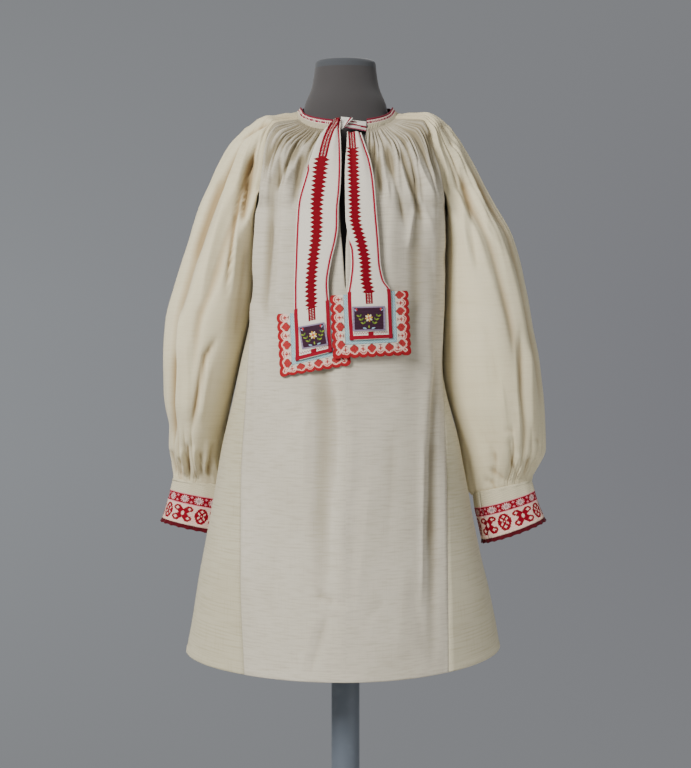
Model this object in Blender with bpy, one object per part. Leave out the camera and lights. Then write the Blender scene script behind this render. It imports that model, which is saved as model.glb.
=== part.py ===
"""A long gathered folk blouse with a knotted neck tie, on a limbless dress form and its stand.

The front faces -Y, +Z is up, and the origin is the middle of the underside of the stand's base.
"Left" and "right" are the viewer's, so left is -X. Tables and sizes are in millimetres.

Every cloth piece is a wall: a smooth surface given by a function of u (across) and v (down),
with folds added along the surface's normal, and the same surface again one cloth thickness inside.
On the body and the sleeves v is 0 at the collar, 1 at the armpit, and 3 at the hem.
"""

import math

import bpy
import numpy as np

MM = 0.001

CLOTH = 1.8
BAND_CLOTH = 2.2
LACE_CLOTH = 1.4
SEAM_GAP = 0.5
BUTT_GAP = 0.6

BODY_GATHERS = 28
SLEEVE_GATHERS = 12
CUFF_GATHERS = 16
OVER_ARC = 0.75
GORE_TOP = 1.5
CHEST_HEIGHT = 1250.0

BASE_RADIUS = 190.0
BASE_HEIGHT = 12.0
POLE_RADIUS = 24.5
POLE_TOP = 719.0
TOUCH_GAP = 0.3

TIE_LIFT = 10.0
RIGHT_TIE_LIFT = 15.0
LACE_WIDTH = 22.0
BRAID_WIDTH = 8.0
BRAID_TUCK = 3.0
TIE_CURL = 1.2
SCALLOP_PITCH = 14.5
SCALLOP_DEPTH = 3.2
SCALLOP_STEPS = 3

# The cuffs' ends overlap: where the strip starts, how far round it goes, in turns, and how far
# out its end lies.
CUFF_START = 0.055
CUFF_TURNS = 1.045
CUFF_LAP = 2.9
EDGING_HEIGHT = 6.0
EDGING_WAVES = 16
EDGING_RUFFLE = 1.0

# The neck band stands on the gathers: how high it is in front and at the sides, how far its
# lower line lies out and its upper line in, and how high the gathers reach above the collar line.
NECK_CENTRE = np.array([2.0, -1.0, 0.0])
COLLAR_FRONT_HEIGHT = 17.5
COLLAR_SIDE_HEIGHT = 12.5
COLLAR_OUT = 1.0
COLLAR_IN = 3.5
GATHER_RISE = 1.7

FORWARD = np.array([0.0, -1.0, 0.0])

# Half of the body's front, from collar to hem: the two side edges, the middle and the ring's shape.
# square is the power that bends the ring: 1 an ellipse, less boxier, more a sharp side corner.
# reach is the angle in degrees from the ring's middle to its edge.
FRONT_COLUMNS = "v x_left x_right y_side z_left z_right y_middle z_middle square reach"
FRONT = (
    (0.00, -81, 85, -29, 1417, 1418, -84, 1393, 1.00, 70),
    (0.12, -99, 106, -38, 1414, 1416, -93, 1377, 0.95, 74),
    (0.25, -121, 133, -50, 1409, 1414, -101, 1357, 0.85, 80),
    (0.40, -135, 145, -57, 1387, 1394, -109, 1337, 0.75, 86),
    (0.60, -141, 153, -59, 1352, 1360, -116, 1314, 0.68, 90),
    (0.80, -144, 163, -56, 1321, 1328, -121, 1296, 0.62, 90),
    (1.00, -148, 169, -48, 1291, 1291, -124, 1280, 0.58, 90),
    (1.05, -149, 171, -26, 1277, 1277, -126, 1264, 0.56, 90),
    (1.10, -150, 172, 0, 1262, 1262, -128, 1250, 0.56, 90),
    (1.25, -154, 173, 0, 1200, 1200, -133, 1194, 0.64, 90),
    (1.50, -163, 171, 0, 1093, 1093, -136, 1090, 0.75, 90),
    (1.75, -184, 169, 0, 990, 990, -136, 988, 0.85, 90),
    (2.08, -214, 198, 0, 858, 858, -138, 852, 1.05, 90),
    (2.48, -243, 229, 0, 698, 698, -143, 682, 1.30, 90),
    (2.80, -266, 258, 0, 568, 572, -149, 537, 1.50, 90),
    (3.00, -279, 271, 0, 491, 499, -152, 451, 1.60, 90),
)
BACK = (
    (0.00, -82, 85, 29, 1437, 1437, 80, 1446, 1.00, 70),
    (0.12, -99, 106, 38, 1430, 1430, 89, 1432, 0.95, 74),
    (0.25, -121, 133, 48, 1419, 1421, 98, 1415, 0.85, 80),
    (0.40, -135, 145, 54, 1392, 1398, 106, 1393, 0.75, 86),
    (0.60, -141, 153, 55, 1356, 1362, 112, 1362, 0.68, 90),
    (0.80, -144, 163, 52, 1323, 1329, 116, 1326, 0.62, 90),
    (1.00, -148, 169, 46, 1291, 1291, 118, 1290, 0.58, 90),
    (1.05, -149, 171, 25, 1277, 1277, 118, 1274, 0.56, 90),
    (1.10, -150, 172, 0, 1262, 1262, 119, 1258, 0.56, 90),
    (1.25, -154, 173, 0, 1200, 1200, 119, 1196, 0.64, 90),
    (1.50, -163, 171, 0, 1093, 1093, 118, 1090, 0.75, 90),
    (1.75, -184, 169, 0, 990, 990, 120, 987, 0.85, 90),
    (2.08, -214, 198, 0, 858, 858, 126, 850, 1.05, 90),
    (2.48, -243, 229, 0, 698, 698, 136, 682, 1.30, 90),
    (2.80, -266, 258, 0, 568, 572, 145, 540, 1.50, 90),
    (3.00, -279, 271, 0, 491, 499, 150, 455, 1.60, 90),
)

# Where the front and back panels meet the side gores, below the gores' tips.
GORE_COLUMNS = "v x_left x_right"
GORE_SEAMS = (
    (1.50, -163, 171),
    (1.62, -166, 168),
    (1.75, -169, 168),
    (1.93, -173, 171),
    (2.28, -180, 175),
    (2.61, -180, 176),
    (3.00, -173, 177),
)

# The two edges of the centre-front slit, by height.
SLIT_COLUMNS = "z x_left x_right"
SLIT_END = 1118.0
SLIT = (
    (1118, 0, 0.9),
    (1150, -2.6, 0.2),
    (1184, -5, 0.5),
    (1232, -9, 5),
    (1305, -11, 20),
    (1364, -13, 33),
    (1393, -15, 38),
)

# The sleeves above the armpit: the outermost line, which runs over the shoulder.
SHOULDER_COLUMNS = "v x_left z_left x_right z_right"
SHOULDER = (
    (0.00, -87, 1429, 91, 1429),
    (0.12, -107, 1427, 114, 1429),
    (0.25, -135, 1421, 138, 1430),
    (0.40, -166, 1405, 166, 1417),
    (0.60, -198, 1377, 192, 1387),
    (0.80, -221, 1341, 219, 1348),
    (1.00, -243, 1296, 248, 1296),
)

# The sleeves below the armpit: rings given by their outer, widest and inner lines.
SLEEVE_COLUMNS = "v z_outer z_inner x_outer x_split x_inner y_middle y_half"
SLEEVES = {
    "left": (
        (1.000, 1296, 1291, -243, -150, -156, -1, 47),
        (1.060, 1270, 1267, -254, -159, -157, -1, 58),
        (1.210, 1208, 1208, -274, -188, -160, 0, 73),
        (1.425, 1121, 1121, -300, -217, -167, 2, 82),
        (1.565, 1065, 1065, -313, -238, -175, 5, 84),
        (1.750, 990, 990, -318, -250, -192, 12, 81),
        (1.930, 920, 920, -315, -258, -208, 22, 76),
        (2.030, 880, 878, -312, -262, -217, 35, 69),
        (2.120, 842, 840, -312, -262, -221, 50, 57),
        (2.190, 812, 806, -307, -258, -216, 61, 42),
        (2.245, 793, 780, -306, -256, -206, 67, 28),
    ),
    "right": (
        (1.000, 1296, 1291, 248, 171, 177, -1, 47),
        (1.060, 1270, 1267, 262, 180, 178, -1, 58),
        (1.210, 1208, 1208, 295, 208, 180, 0, 73),
        (1.425, 1121, 1121, 316, 236, 180, 3, 82),
        (1.565, 1065, 1065, 326, 252, 180, 5, 84),
        (1.750, 990, 990, 341, 264, 182, 9, 81),
        (1.930, 920, 920, 349, 274, 193, 13, 76),
        (2.030, 880, 878, 351, 280, 206, 18, 69),
        (2.120, 842, 838, 350, 284, 216, 22, 57),
        (2.190, 815, 800, 338, 282, 223, 25, 42),
        (2.245, 793, 770, 327, 276, 226, 27, 28),
    ),
}

# The cuffs, from the gathers down to the edging: step is 0 at the top, 1 the red band's top,
# 2 the line between its two rows of stitching and 3 its lower edge.
CUFF_COLUMNS = "step x_outer z_outer x_inner z_inner half_depth y_middle drop"
CUFFS = {
    "left": (
        (0, -306, 792, -206, 779, 28, 67, 1.0),
        (1, -312, 769, -208, 750, 27, 69, 2.0),
        (2, -318, 746, -211, 725, 27, 71, 2.5),
        (3, -326, 720, -216, 697, 28, 72, 3.0),
    ),
    "right": (
        (0, 327, 792, 226, 769, 28, 27, 2.0),
        (1, 334, 769, 230, 739, 27, 28, 4.0),
        (2, 340, 748, 235, 717, 27, 29, 4.5),
        (3, 350, 723, 242, 685, 28, 29, 5.0),
    ),
}
# Soft folds below the gathers: where each starts and ends, how wide it is in u and how high.
FOLD_COLUMNS = "u_top u_bottom v_top v_bottom width height"
FRONT_FOLDS = (
    (0.10, 0.07, 0.6, 2.3, 0.030, 5.0),
    (0.19, 0.16, 0.5, 1.7, 0.035, -5.0),
    (0.28, 0.25, 0.4, 2.0, 0.035, 4.5),
    (0.42, 0.40, 1.0, 2.9, 0.050, -5.0),
    (0.47, 0.48, 1.4, 3.1, 0.040, 4.0),
    (0.63, 0.65, 0.4, 1.8, 0.035, 5.0),
    (0.74, 0.76, 0.5, 2.0, 0.035, -5.0),
    (0.83, 0.86, 0.6, 2.6, 0.035, 5.0),
    (0.90, 0.91, 1.5, 3.1, 0.030, -5.0),
)
BACK_FOLDS = (
    (0.12, 0.09, 0.6, 2.5, 0.035, 5.0),
    (0.24, 0.21, 0.5, 2.0, 0.040, -5.0),
    (0.36, 0.33, 0.5, 2.8, 0.040, 5.0),
    (0.50, 0.51, 0.6, 3.1, 0.050, -5.5),
    (0.63, 0.67, 0.5, 2.4, 0.040, 5.0),
    (0.76, 0.80, 0.5, 2.1, 0.040, -5.0),
    (0.88, 0.91, 0.6, 2.7, 0.035, 5.0),
)
SLEEVE_FOLDS = {
    "left": (
        (0.05, 0.05, 0.5, 2.1, 0.028, -7.0),
        (0.12, 0.13, 0.3, 1.9, 0.030, 5.0),
        (0.20, 0.19, 0.4, 2.2, 0.030, -6.0),
        (0.28, 0.30, 0.6, 2.2, 0.035, 5.0),
        (0.46, 0.45, 0.3, 2.2, 0.035, -5.0),
        (0.56, 0.58, 0.4, 2.2, 0.035, 5.0),
        (0.67, 0.66, 0.5, 2.0, 0.030, -6.0),
    ),
    "right": (
        (0.04, 0.06, 0.1, 1.6, 0.028, 6.0),
        (0.10, 0.11, 0.6, 2.1, 0.028, -6.0),
        (0.18, 0.20, 0.4, 2.2, 0.032, 5.0),
        (0.27, 0.26, 0.5, 2.2, 0.032, -5.0),
        (0.45, 0.47, 0.3, 2.1, 0.035, 5.0),
        (0.57, 0.56, 0.4, 2.2, 0.035, -5.0),
        (0.68, 0.67, 0.5, 2.1, 0.030, 5.0),
    ),
}

# The two hanging ends of the tie, as seen from the front: both edges from the knot down.
TIE_COLUMNS = "step x_left z_left x_right z_right"
TIES = {
    "left": (
        (0.0, -16, 1412, -10, 1413),
        (0.6, -32, 1396, -5, 1396),
        (1.2, -46, 1377, -3, 1374),
        (2.2, -61, 1338, -2, 1333),
        (3.2, -71, 1304, -3, 1297),
        (4.2, -82, 1261, -7, 1255),
        (5.4, -86, 1201, -15, 1201),
        (6.4, -87, 1158, -24, 1163),
        (7.4, -88, 1116, -29, 1126),
        (8.2, -88, 1077, -27, 1094),
        (9.0, -86, 1036, -25, 1051),
        (9.8, -85, 995, -22, 1011),
    ),
    "right": (
        (0.0, 3, 1388, 27, 1388),
        (0.6, 2, 1360, 36, 1360),
        (1.2, 0, 1338, 43, 1338),
        (2.2, -1, 1304, 49, 1304),
        (3.6, 0, 1240, 54, 1240),
        (4.8, 7, 1192, 58, 1192),
        (5.6, 9, 1163, 60, 1163),
        (6.4, 6, 1133, 66, 1136),
        (7.0, 3, 1112, 77, 1118),
        (7.8, 4, 1079, 79, 1079),
        (8.6, 7, 1034, 81, 1038),
    ),
}
TIE_END_ROWS = {"left": (8.2, 9.8), "right": (7.0, 8.6)}

# The band across the opening at the neck: its rows from the top down, their heights at its left and
# right ends, and how far they bulge out.
CROSSBAND_ROWS = ((1412, 1408, 0.0), (1406, 1400, 1.5), (1399, 1391, 0.0))
CROSSBAND_X = (-15, 36)
CROSSBAND_Y = (-88, -78)

# The turn of the tie that wraps the crossband: its upper and lower corners, each as x and z.
KNOT_LEFT = ((-7.5, 1415), (-7.5, 1393))
KNOT_RIGHT = ((13, 1413), (-4, 1394))
KNOT_Y = -91.5
KNOT_BULGE = 2.0

# The dress form, from its underside to the top of its neck.
FORM_COLUMNS = "z half_width y_front y_back"
FORM = (
    (720, 118, -78, 78),
    (726, 136, -92, 92),
    (745, 146, -100, 101),
    (850, 150, -104, 108),
    (940, 136, -96, 92),
    (1010, 124, -92, 82),
    (1090, 134, -104, 88),
    (1180, 141, -115, 97),
    (1250, 140, -108, 100),
    (1310, 139, -94, 98),
    (1350, 138, -84, 92),
    (1376, 128, -76, 84),
    (1392, 112, -69, 76),
    (1404, 92, -66, 70),
    (1420, 77, -66, 67),
    (1445, 71, -65, 66),
    (1475, 59, -58, 60),
    (1505, 54, -54, 54),
    (1516, 53, -53, 53),
    (1521, 50, -50, 50),
    (1523, 44, -44, 44),
)

LINEN = (0.565, 0.539, 0.479)
COTTON = (0.610, 0.545, 0.402)
CRIMSON = (0.319, 0.010, 0.024)
WOVEN_WHITE = (0.642, 0.618, 0.578)
LACE_RED = (0.527, 0.068, 0.052)
BRAID_BLUE = (0.275, 0.468, 0.503)
FORM_GREY = (0.130, 0.118, 0.112)
STAND_GREY = (0.104, 0.120, 0.140)


def table_at(table, columns, key):
    """The values of a table's named columns where its first column is key, on a smooth curve."""
    rows = np.array(table, float)
    keys = rows[:, 0]
    values = rows[:, 1:]
    key = min(max(key, keys[0]), keys[-1])
    steps = np.diff(keys)
    slopes = np.diff(values, axis=0) / steps[:, None]
    tangents = np.vstack([slopes[:1], slopes, slopes[-1:]])
    before = tangents[:-1]
    after = tangents[1:]
    same_way = before * after > 0
    mean = np.where(same_way, 2 * before * after / np.where(same_way, before + after, 1), 0)
    mean[0] = slopes[0]
    mean[-1] = slopes[-1]
    at = min(max(int(np.searchsorted(keys, key, side="right")) - 1, 0), len(steps) - 1)
    t = (key - keys[at]) / steps[at]
    point = (
        (2 * t**3 - 3 * t**2 + 1) * values[at]
        + (t**3 - 2 * t**2 + t) * steps[at] * mean[at]
        + (3 * t**2 - 2 * t**3) * values[at + 1]
        + (t**3 - t**2) * steps[at] * mean[at + 1]
    )
    return dict(zip(columns.split()[1:], point))


def smooth(value, start, end):
    """0 before start, 1 after end, and a soft step between them."""
    t = min(max((value - start) / (end - start), 0.0), 1.0)
    return t * t * (3 - 2 * t)


def unit(vector):
    return vector / max(float(np.linalg.norm(vector)), 1e-9)


def body_ring(panel, v, x):
    """The point of the front's or back's smooth surface at row v and sideways place x."""
    row = table_at(panel, FRONT_COLUMNS, v)
    middle = (row["x_left"] + row["x_right"]) / 2
    edge = row["x_left"] if x < middle else row["x_right"]
    z_edge = row["z_left"] if x < middle else row["z_right"]
    reach = math.radians(row["reach"])
    share = min(abs(x - middle) / abs(edge - middle), 1.0)
    angle = math.asin(share * math.sin(reach))
    lift = max((math.cos(angle) - math.cos(reach)) / (1 - math.cos(reach)), 0.0)
    y = row["y_side"] + (row["y_middle"] - row["y_side"]) * lift ** row["square"]
    z = z_edge + (row["z_middle"] - z_edge) * lift
    return np.array([x, y, z])


def panel_edges(panel, v, side):
    """The x of the panel's outer edge on one side at row v, and of the ring's own edge there."""
    ring = table_at(panel, FRONT_COLUMNS, v)["x_" + side]
    if v <= GORE_TOP:
        return ring, ring
    seam = table_at(GORE_SEAMS, GORE_COLUMNS, v)["x_" + side]
    return (max(seam, ring) if side == "left" else min(seam, ring)), ring


def slit_edge(v, side):
    """The x of the slit's edge at row v, or of the middle below the slit."""
    z = table_at(FRONT, FRONT_COLUMNS, v)["z_middle"]
    if z <= SLIT_END:
        return 0.5
    return table_at(SLIT, SLIT_COLUMNS, z)["x_" + side]


def panel_point(panel, u, v, side):
    """A point of one half of the front or back: u runs 0 to 1 from the left edge to the right."""
    share = 1 - 2 * u if side == "left" else 2 * u - 1
    edge, ring = panel_edges(panel, v, side)
    start = slit_edge(v, side) if panel is FRONT else 0.5
    row = table_at(panel, FRONT_COLUMNS, v)
    middle = (row["x_left"] + row["x_right"]) / 2
    reach = math.asin(min((edge - middle) / (ring - middle), 1.0) * math.sin(math.radians(row["reach"])))
    x = start + (edge - start) * math.sin(reach * share) / math.sin(reach)
    return body_ring(panel, v, x)


def gore_point(side, u, v):
    """A point of a side gore: u runs 0 to 1 from its front seam round the corner to its back seam."""
    panel = FRONT if u < 0.5 else BACK
    share = abs(2 * u - 1)
    edge, ring = panel_edges(panel, v, side)
    row = table_at(panel, FRONT_COLUMNS, v)
    middle = (row["x_left"] + row["x_right"]) / 2
    corner = math.pi / 2
    seam = math.asin(min((edge - middle) / (ring - middle), 1.0))
    x = middle + (ring - middle) * math.sin(corner + (seam - corner) * share)
    return body_ring(panel, v, x)


def sleeve_point(side, u, v):
    """A point of a sleeve: u runs from the front seam over the outside to the back seam at
    OVER_ARC, and on below the armpit along the inside to the front seam again at 1."""
    over = u <= OVER_ARC
    share = u / OVER_ARC if over else (u - OVER_ARC) / (1 - OVER_ARC)
    front_half = share <= 0.5 if over else share > 0.5
    angle = math.pi * share
    if v < 1:
        shoulder = table_at(SHOULDER, SHOULDER_COLUMNS, v)
        row = table_at(FRONT if front_half else BACK, FRONT_COLUMNS, v)
        seam = np.array([row["x_" + side], row["y_side"], row["z_" + side]])
        top = np.array([shoulder["x_" + side], 0.0, shoulder["z_" + side]])
        half = 1 - abs(1 - 2 * share)
        flat = 1 - smooth(v, 0.0, 0.35)
        out = (1 - (1 - half) ** 2) * flat + math.sin(angle) * (1 - flat)
        away = half * flat + (1 - abs(math.cos(angle))) * (1 - flat)
        return seam + (top - seam) * np.array([out, away, out])
    ring = table_at(SLEEVES[side], SLEEVE_COLUMNS, v)
    extreme = ring["x_outer"] if over else ring["x_inner"]
    x = ring["x_split"] + (extreme - ring["x_split"]) * math.sin(angle)
    depth = ring["y_half"] * abs(math.cos(angle))
    y = ring["y_middle"] + (-depth if front_half else depth)
    along = (x - ring["x_outer"]) / (ring["x_inner"] - ring["x_outer"])
    z = ring["z_outer"] + (ring["z_inner"] - ring["z_outer"]) * along
    if not over:
        z -= 30 * math.sin(angle) * (1 - smooth(v, 1.0, 1.25))
    return np.array([x, y, z])


def panel_normal(panel, u, v, side):
    """The normal of the front or back, worked out inside its half so that the slit does no harm."""
    low, high = (0.0, 0.499) if side == "left" else (0.501, 1.0)
    held = min(max(u, low + 0.004), high - 0.004)
    low_v, high_v = max(v - 0.004, 0.0), min(v + 0.004, 3.0)
    across = panel_point(panel, held + 0.004, v, side) - panel_point(panel, held - 0.004, v, side)
    down = panel_point(panel, held, high_v, side) - panel_point(panel, held, low_v, side)
    found = unit(np.cross(down, across))
    place = panel_point(panel, held, v, side)
    inside = np.array([0.0, 0.0, min(place[2], CHEST_HEIGHT)])
    return found if found @ (place - inside) > 0 else -found


def sleeve_normal(side, u, v):
    if v < 1:
        held = min(max(u, 0.004), OVER_ARC - 0.004)
    elif abs(u - OVER_ARC) < 0.005 or u < 0.005 or u > 0.995:
        held_low = sleeve_normal_raw(side, (u - 0.006) % 1.0, v)
        held_high = sleeve_normal_raw(side, (u + 0.006) % 1.0, v)
        return unit(held_low + held_high)
    else:
        held = u
    return sleeve_normal_raw(side, held, v)


def sleeve_normal_raw(side, u, v):
    outward = 1 if side == "left" else -1
    row = max(v, 1.005) if v >= 1 else min(v, 0.995)
    low_v, high_v = row - 0.004, row + 0.004
    if row < 1:
        low_v = max(low_v, 0.0)
    step = 0.0015
    across = sleeve_point(side, u + step, row) - sleeve_point(side, u - step, row)
    down = sleeve_point(side, u, high_v) - sleeve_point(side, u, low_v)
    return unit(np.cross(across, down)) * outward


def seam_normal(panel, side, v):
    """The direction that both pieces share along the edge of the front or back."""
    out = -1.0 if side == "left" else 1.0
    end = 0.0 if side == "left" else 1.0
    own = panel_normal(panel, end, v, side)
    if v <= 1:
        other = sleeve_normal(side, 0.0 if panel is FRONT else OVER_ARC, v)
        return unit(own + other)
    if v <= GORE_TOP:
        return np.array([out, 0.0, 0.0])
    return own


def gather_height(u, v, count, fade):
    """Fine gathers at the collar, which join two by two into larger ones lower down."""
    uneven = 0.75 + 0.25 * math.sin(17.0 * u + 1.3) * math.cos(41.0 * u)
    fine = (1.0 + 1.6 * smooth(v, 0.0, 0.1)) * (1 - smooth(v, 0.15, 0.24))
    joined = 4.6 * smooth(v, 0.15, 0.30) * (1 - 0.55 * smooth(v, 0.5, 1.0)) * (1 - smooth(v, 1.0, fade))
    wave = fine * math.cos(2 * math.pi * count * u)
    wave += joined * math.cos(math.pi * count * u)
    return wave * uneven


def fold_height(folds, u, v):
    """The soft folds that a table gives, as ridges and troughs that fade at both ends."""
    total = 0.0
    for row in folds:
        fold = dict(zip(FOLD_COLUMNS.split(), row))
        share = (v - fold["v_top"]) / (fold["v_bottom"] - fold["v_top"])
        if 0 < share < 1:
            centre = fold["u_top"] + (fold["u_bottom"] - fold["u_top"]) * share
            ends = smooth(share, 0.0, 0.25) * (1 - smooth(share, 0.6, 1.0))
            total += fold["height"] * ends * math.exp(-(((u - centre) / fold["width"]) ** 2))
    return total


def panel_fold(panel, u, v):
    edges = smooth(min(u, 1 - u), 0.0, 0.07)
    folds = FRONT_FOLDS if panel is FRONT else BACK_FOLDS
    return edges * (gather_height(u, v, BODY_GATHERS, 1.6) + fold_height(folds, u, v))


def sleeve_fold(side, u, v):
    seams = 1.0
    if v < 1.2:
        over = smooth(min(u, max(OVER_ARC - u, 0.0)), 0.0, 0.06)
        seams = over + (1 - over) * smooth(v, 1.0, 1.2)
    inside = smooth(u, OVER_ARC - 0.02, OVER_ARC + 0.03) * (1 - smooth(u, 0.95, 1.0))
    calm = 1 - 0.8 * inside * (1 - smooth(v, 2.0, 2.2))
    top = gather_height(u / OVER_ARC, v, SLEEVE_GATHERS, 1.5) if u <= OVER_ARC else 0.0
    cuff = 3.4 * smooth(v, 1.98, 2.12) * (1 - 0.62 * smooth(v, 2.16, 2.245))
    cuff *= math.cos(2 * math.pi * CUFF_GATHERS * u) * (0.8 + 0.2 * math.sin(23 * u))
    return seams * calm * (top + cuff + fold_height(SLEEVE_FOLDS[side], u, v))


def pulled_in(point, neighbour, distance):
    """The point moved towards its neighbour, which leaves a seam's gap."""
    return point + unit(neighbour - point) * distance


def wall_mesh(patches, thickness):
    """Points and faces of a closed wall. A patch is a list of rows, a row a list of
    (point, normal) pairs. A row may have twice or half as many steps as the row above it.
    Patches meet where their points are the same."""
    index = {}
    outer = []
    normals = []
    faces = []

    def number(pair):
        key = tuple(np.round(pair[0], 5))
        if key not in index:
            index[key] = len(outer)
            outer.append(pair[0])
            normals.append(np.zeros(3))
        normals[index[key]] = normals[index[key]] + pair[1]
        return index[key]

    for rows in patches:
        numbered = [[number(pair) for pair in row] for row in rows]
        for above, below in zip(numbered, numbered[1:]):
            if len(above) == len(below):
                for j in range(len(above) - 1):
                    faces.append((above[j], below[j], below[j + 1], above[j + 1]))
                continue
            fine, coarse = (above, below) if len(above) > len(below) else (below, above)
            for j in range(len(coarse) - 1):
                a, b, c = fine[2 * j : 2 * j + 3]
                d, e = coarse[j], coarse[j + 1]
                parts = [(a, d, b), (b, d, e), (b, e, c)]
                faces.extend(parts if fine is above else [part[::-1] for part in parts])
    faces = [tuple(dict.fromkeys(face)) for face in faces]
    faces = [face for face in faces if len(face) > 2]
    count = len(outer)
    inner = [point - unit(normal) * thickness for point, normal in zip(outer, normals)]
    edges = {}
    for face in faces:
        for a, b in zip(face, face[1:] + face[:1]):
            edges[(a, b)] = edges.get((a, b), 0) + 1
    rim = [(a, b) for a, b in edges if (b, a) not in edges]
    whole = list(faces)
    whole += [tuple(i + count for i in face[::-1]) for face in faces]
    whole += [(b, a, a + count, b + count) for a, b in rim]
    return np.array(outer + inner), whole


def material_of(name, colour, roughness, metallic):
    material = bpy.data.materials.new(name)
    material.use_nodes = True
    shader = material.node_tree.nodes["Principled BSDF"]
    shader.inputs["Base Color"].default_value = (*colour, 1.0)
    shader.inputs["Roughness"].default_value = roughness
    shader.inputs["Metallic"].default_value = metallic
    material.diffuse_color = (*colour, 1.0)
    return material


def add_object(name, points, faces, colour, roughness=0.9, metallic=0.0):
    """One named object with its own material, its faces turned outwards."""
    mesh = bpy.data.meshes.new(name)
    mesh.from_pydata([tuple(p * MM) for p in points], [], faces)
    mesh.materials.append(material_of(name, colour, roughness, metallic))
    mesh.update()
    corners = []
    for face in faces:
        corners += [(face[0], face[i], face[i + 1]) for i in range(1, len(face) - 1)]
    if np.linalg.det(np.array(points)[np.array(corners)]).sum() < 0:
        mesh.flip_normals()
    mesh.shade_smooth()
    mesh.set_sharp_from_angle(angle=math.radians(50))
    obj = bpy.data.objects.new(name, mesh)
    bpy.context.scene.collection.objects.link(obj)
    return obj


def add_wall(name, patches, thickness, colour):
    points, faces = wall_mesh(patches, thickness)
    return add_object(name, points, faces, colour)


def loft(rings):
    """A closed solid through rings of equal length, with flat ends."""
    size = len(rings[0])
    points = [point for ring in rings for point in ring]
    faces = []
    for i in range(len(rings) - 1):
        for j in range(size):
            a, b = i * size + j, i * size + (j + 1) % size
            faces.append((a, b, b + size, a + size))
    faces.append(tuple(range(size))[::-1])
    faces.append(tuple(range((len(rings) - 1) * size, len(rings) * size)))
    return np.array(points), faces


PANEL_ROWS = (
    (0.00, 56), (0.05, 56), (0.10, 56), (0.16, 56),
    (0.24, 28), (0.33, 28), (0.45, 28), (0.60, 28), (0.80, 28), (1.00, 28),
    (1.05, 28), (1.10, 28), (1.21, 28), (1.35, 28), (1.50, 28), (1.62, 28),
    (1.85, 28), (2.10, 28), (2.40, 28), (2.70, 28), (3.00, 28),
)
GORE_ROWS = (1.50, 1.62, 1.85, 2.10, 2.40, 2.70, 3.00)
SLEEVE_ROWS = (
    0.00, 0.05, 0.10, 0.16, 0.24, 0.33, 0.45, 0.60, 0.80, 1.00,
    1.10, 1.25, 1.42, 1.60, 1.78, 1.92, 2.02, 2.09, 2.15, 2.20, 2.238,
)


def panel_half(panel, side):
    """The rows of one half of the front or back, from its outer edge to the slit or the middle."""
    rows = []
    end = 0.0 if side == "left" else 1.0
    for v, columns in PANEL_ROWS:
        edge_normal = seam_normal(panel, side, v)
        half = columns // 2
        row = []
        for j in range(half + 1):
            u = end + (0.5 - end) * j / half
            own = panel_normal(panel, u, v, side)
            share = smooth(abs(u - end), 0.0, 0.08)
            normal = unit(edge_normal * (1 - share) + own * share)
            point = panel_point(panel, u, v, side) + normal * panel_fold(panel, u, v)
            row.append((point, normal))
        row[0] = (pulled_in(row[0][0], row[1][0], SEAM_GAP / 2), row[0][1])
        rows.append(row if side == "left" else row[::-1])
    return rows


def add_panel(name, panel):
    halves = [panel_half(panel, "left"), panel_half(panel, "right")]
    middle = [(halves[0][i][-1], halves[1][i][0]) for i in range(len(PANEL_ROWS))]
    for i, (left_end, right_end) in enumerate(middle):
        if np.linalg.norm(left_end[0] - right_end[0]) < 0.5:
            halves[1][i][0] = (left_end[0], right_end[1])
    add_wall(name, halves, CLOTH, LINEN)


def add_gore(side):
    rows = []
    columns = 8
    for v in GORE_ROWS:
        row = []
        for j in range(columns + 1):
            u = j / columns
            panel = FRONT if u < 0.5 else BACK
            out = -1.0 if side == "left" else 1.0
            corner = np.array([out, 0.0, 0.0])
            edge_u = 0.0 if side == "left" else 1.0
            seam = panel_normal(panel, edge_u, v, side)
            share = abs(2 * u - 1)
            row.append((gore_point(side, u, v), unit(seam * share + corner * (1 - share))))
        row[0] = (pulled_in(row[0][0], row[1][0], SEAM_GAP / 2), row[0][1])
        row[-1] = (pulled_in(row[-1][0], row[-2][0], SEAM_GAP / 2), row[-1][1])
        rows.append(row)
    add_wall("gore_" + side, [rows], CLOTH, LINEN)


def add_sleeve(side):
    over_columns = 24
    under_columns = 8
    over = []
    under = []
    for v in SLEEVE_ROWS:
        row = []
        for j in range(over_columns + 1):
            u = OVER_ARC * j / over_columns
            normal = sleeve_normal(side, u, v)
            if v <= 1:
                front = seam_normal(FRONT, side, v)
                back = seam_normal(BACK, side, v)
                near_front = 1 - smooth(u, 0.0, 0.06)
                near_back = smooth(u, OVER_ARC - 0.06, OVER_ARC)
                normal = unit(normal * (1 - near_front - near_back) + front * near_front + back * near_back)
            row.append((sleeve_point(side, u, v) + normal * sleeve_fold(side, u, v), normal))
        if v <= 1:
            row[0] = (pulled_in(row[0][0], row[1][0], SEAM_GAP / 2), row[0][1])
            row[-1] = (pulled_in(row[-1][0], row[-2][0], SEAM_GAP / 2), row[-1][1])
        over.append(row)
        if v < 1:
            continue
        inside = [row[-1]]
        for j in range(1, under_columns):
            u = OVER_ARC + (1 - OVER_ARC) * j / under_columns
            normal = sleeve_normal(side, u, v)
            inside.append((sleeve_point(side, u, v) + normal * sleeve_fold(side, u, v), normal))
        inside.append(row[0])
        under.append(inside)
    add_wall("sleeve_" + side, [over, under], CLOTH, COTTON)


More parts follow.
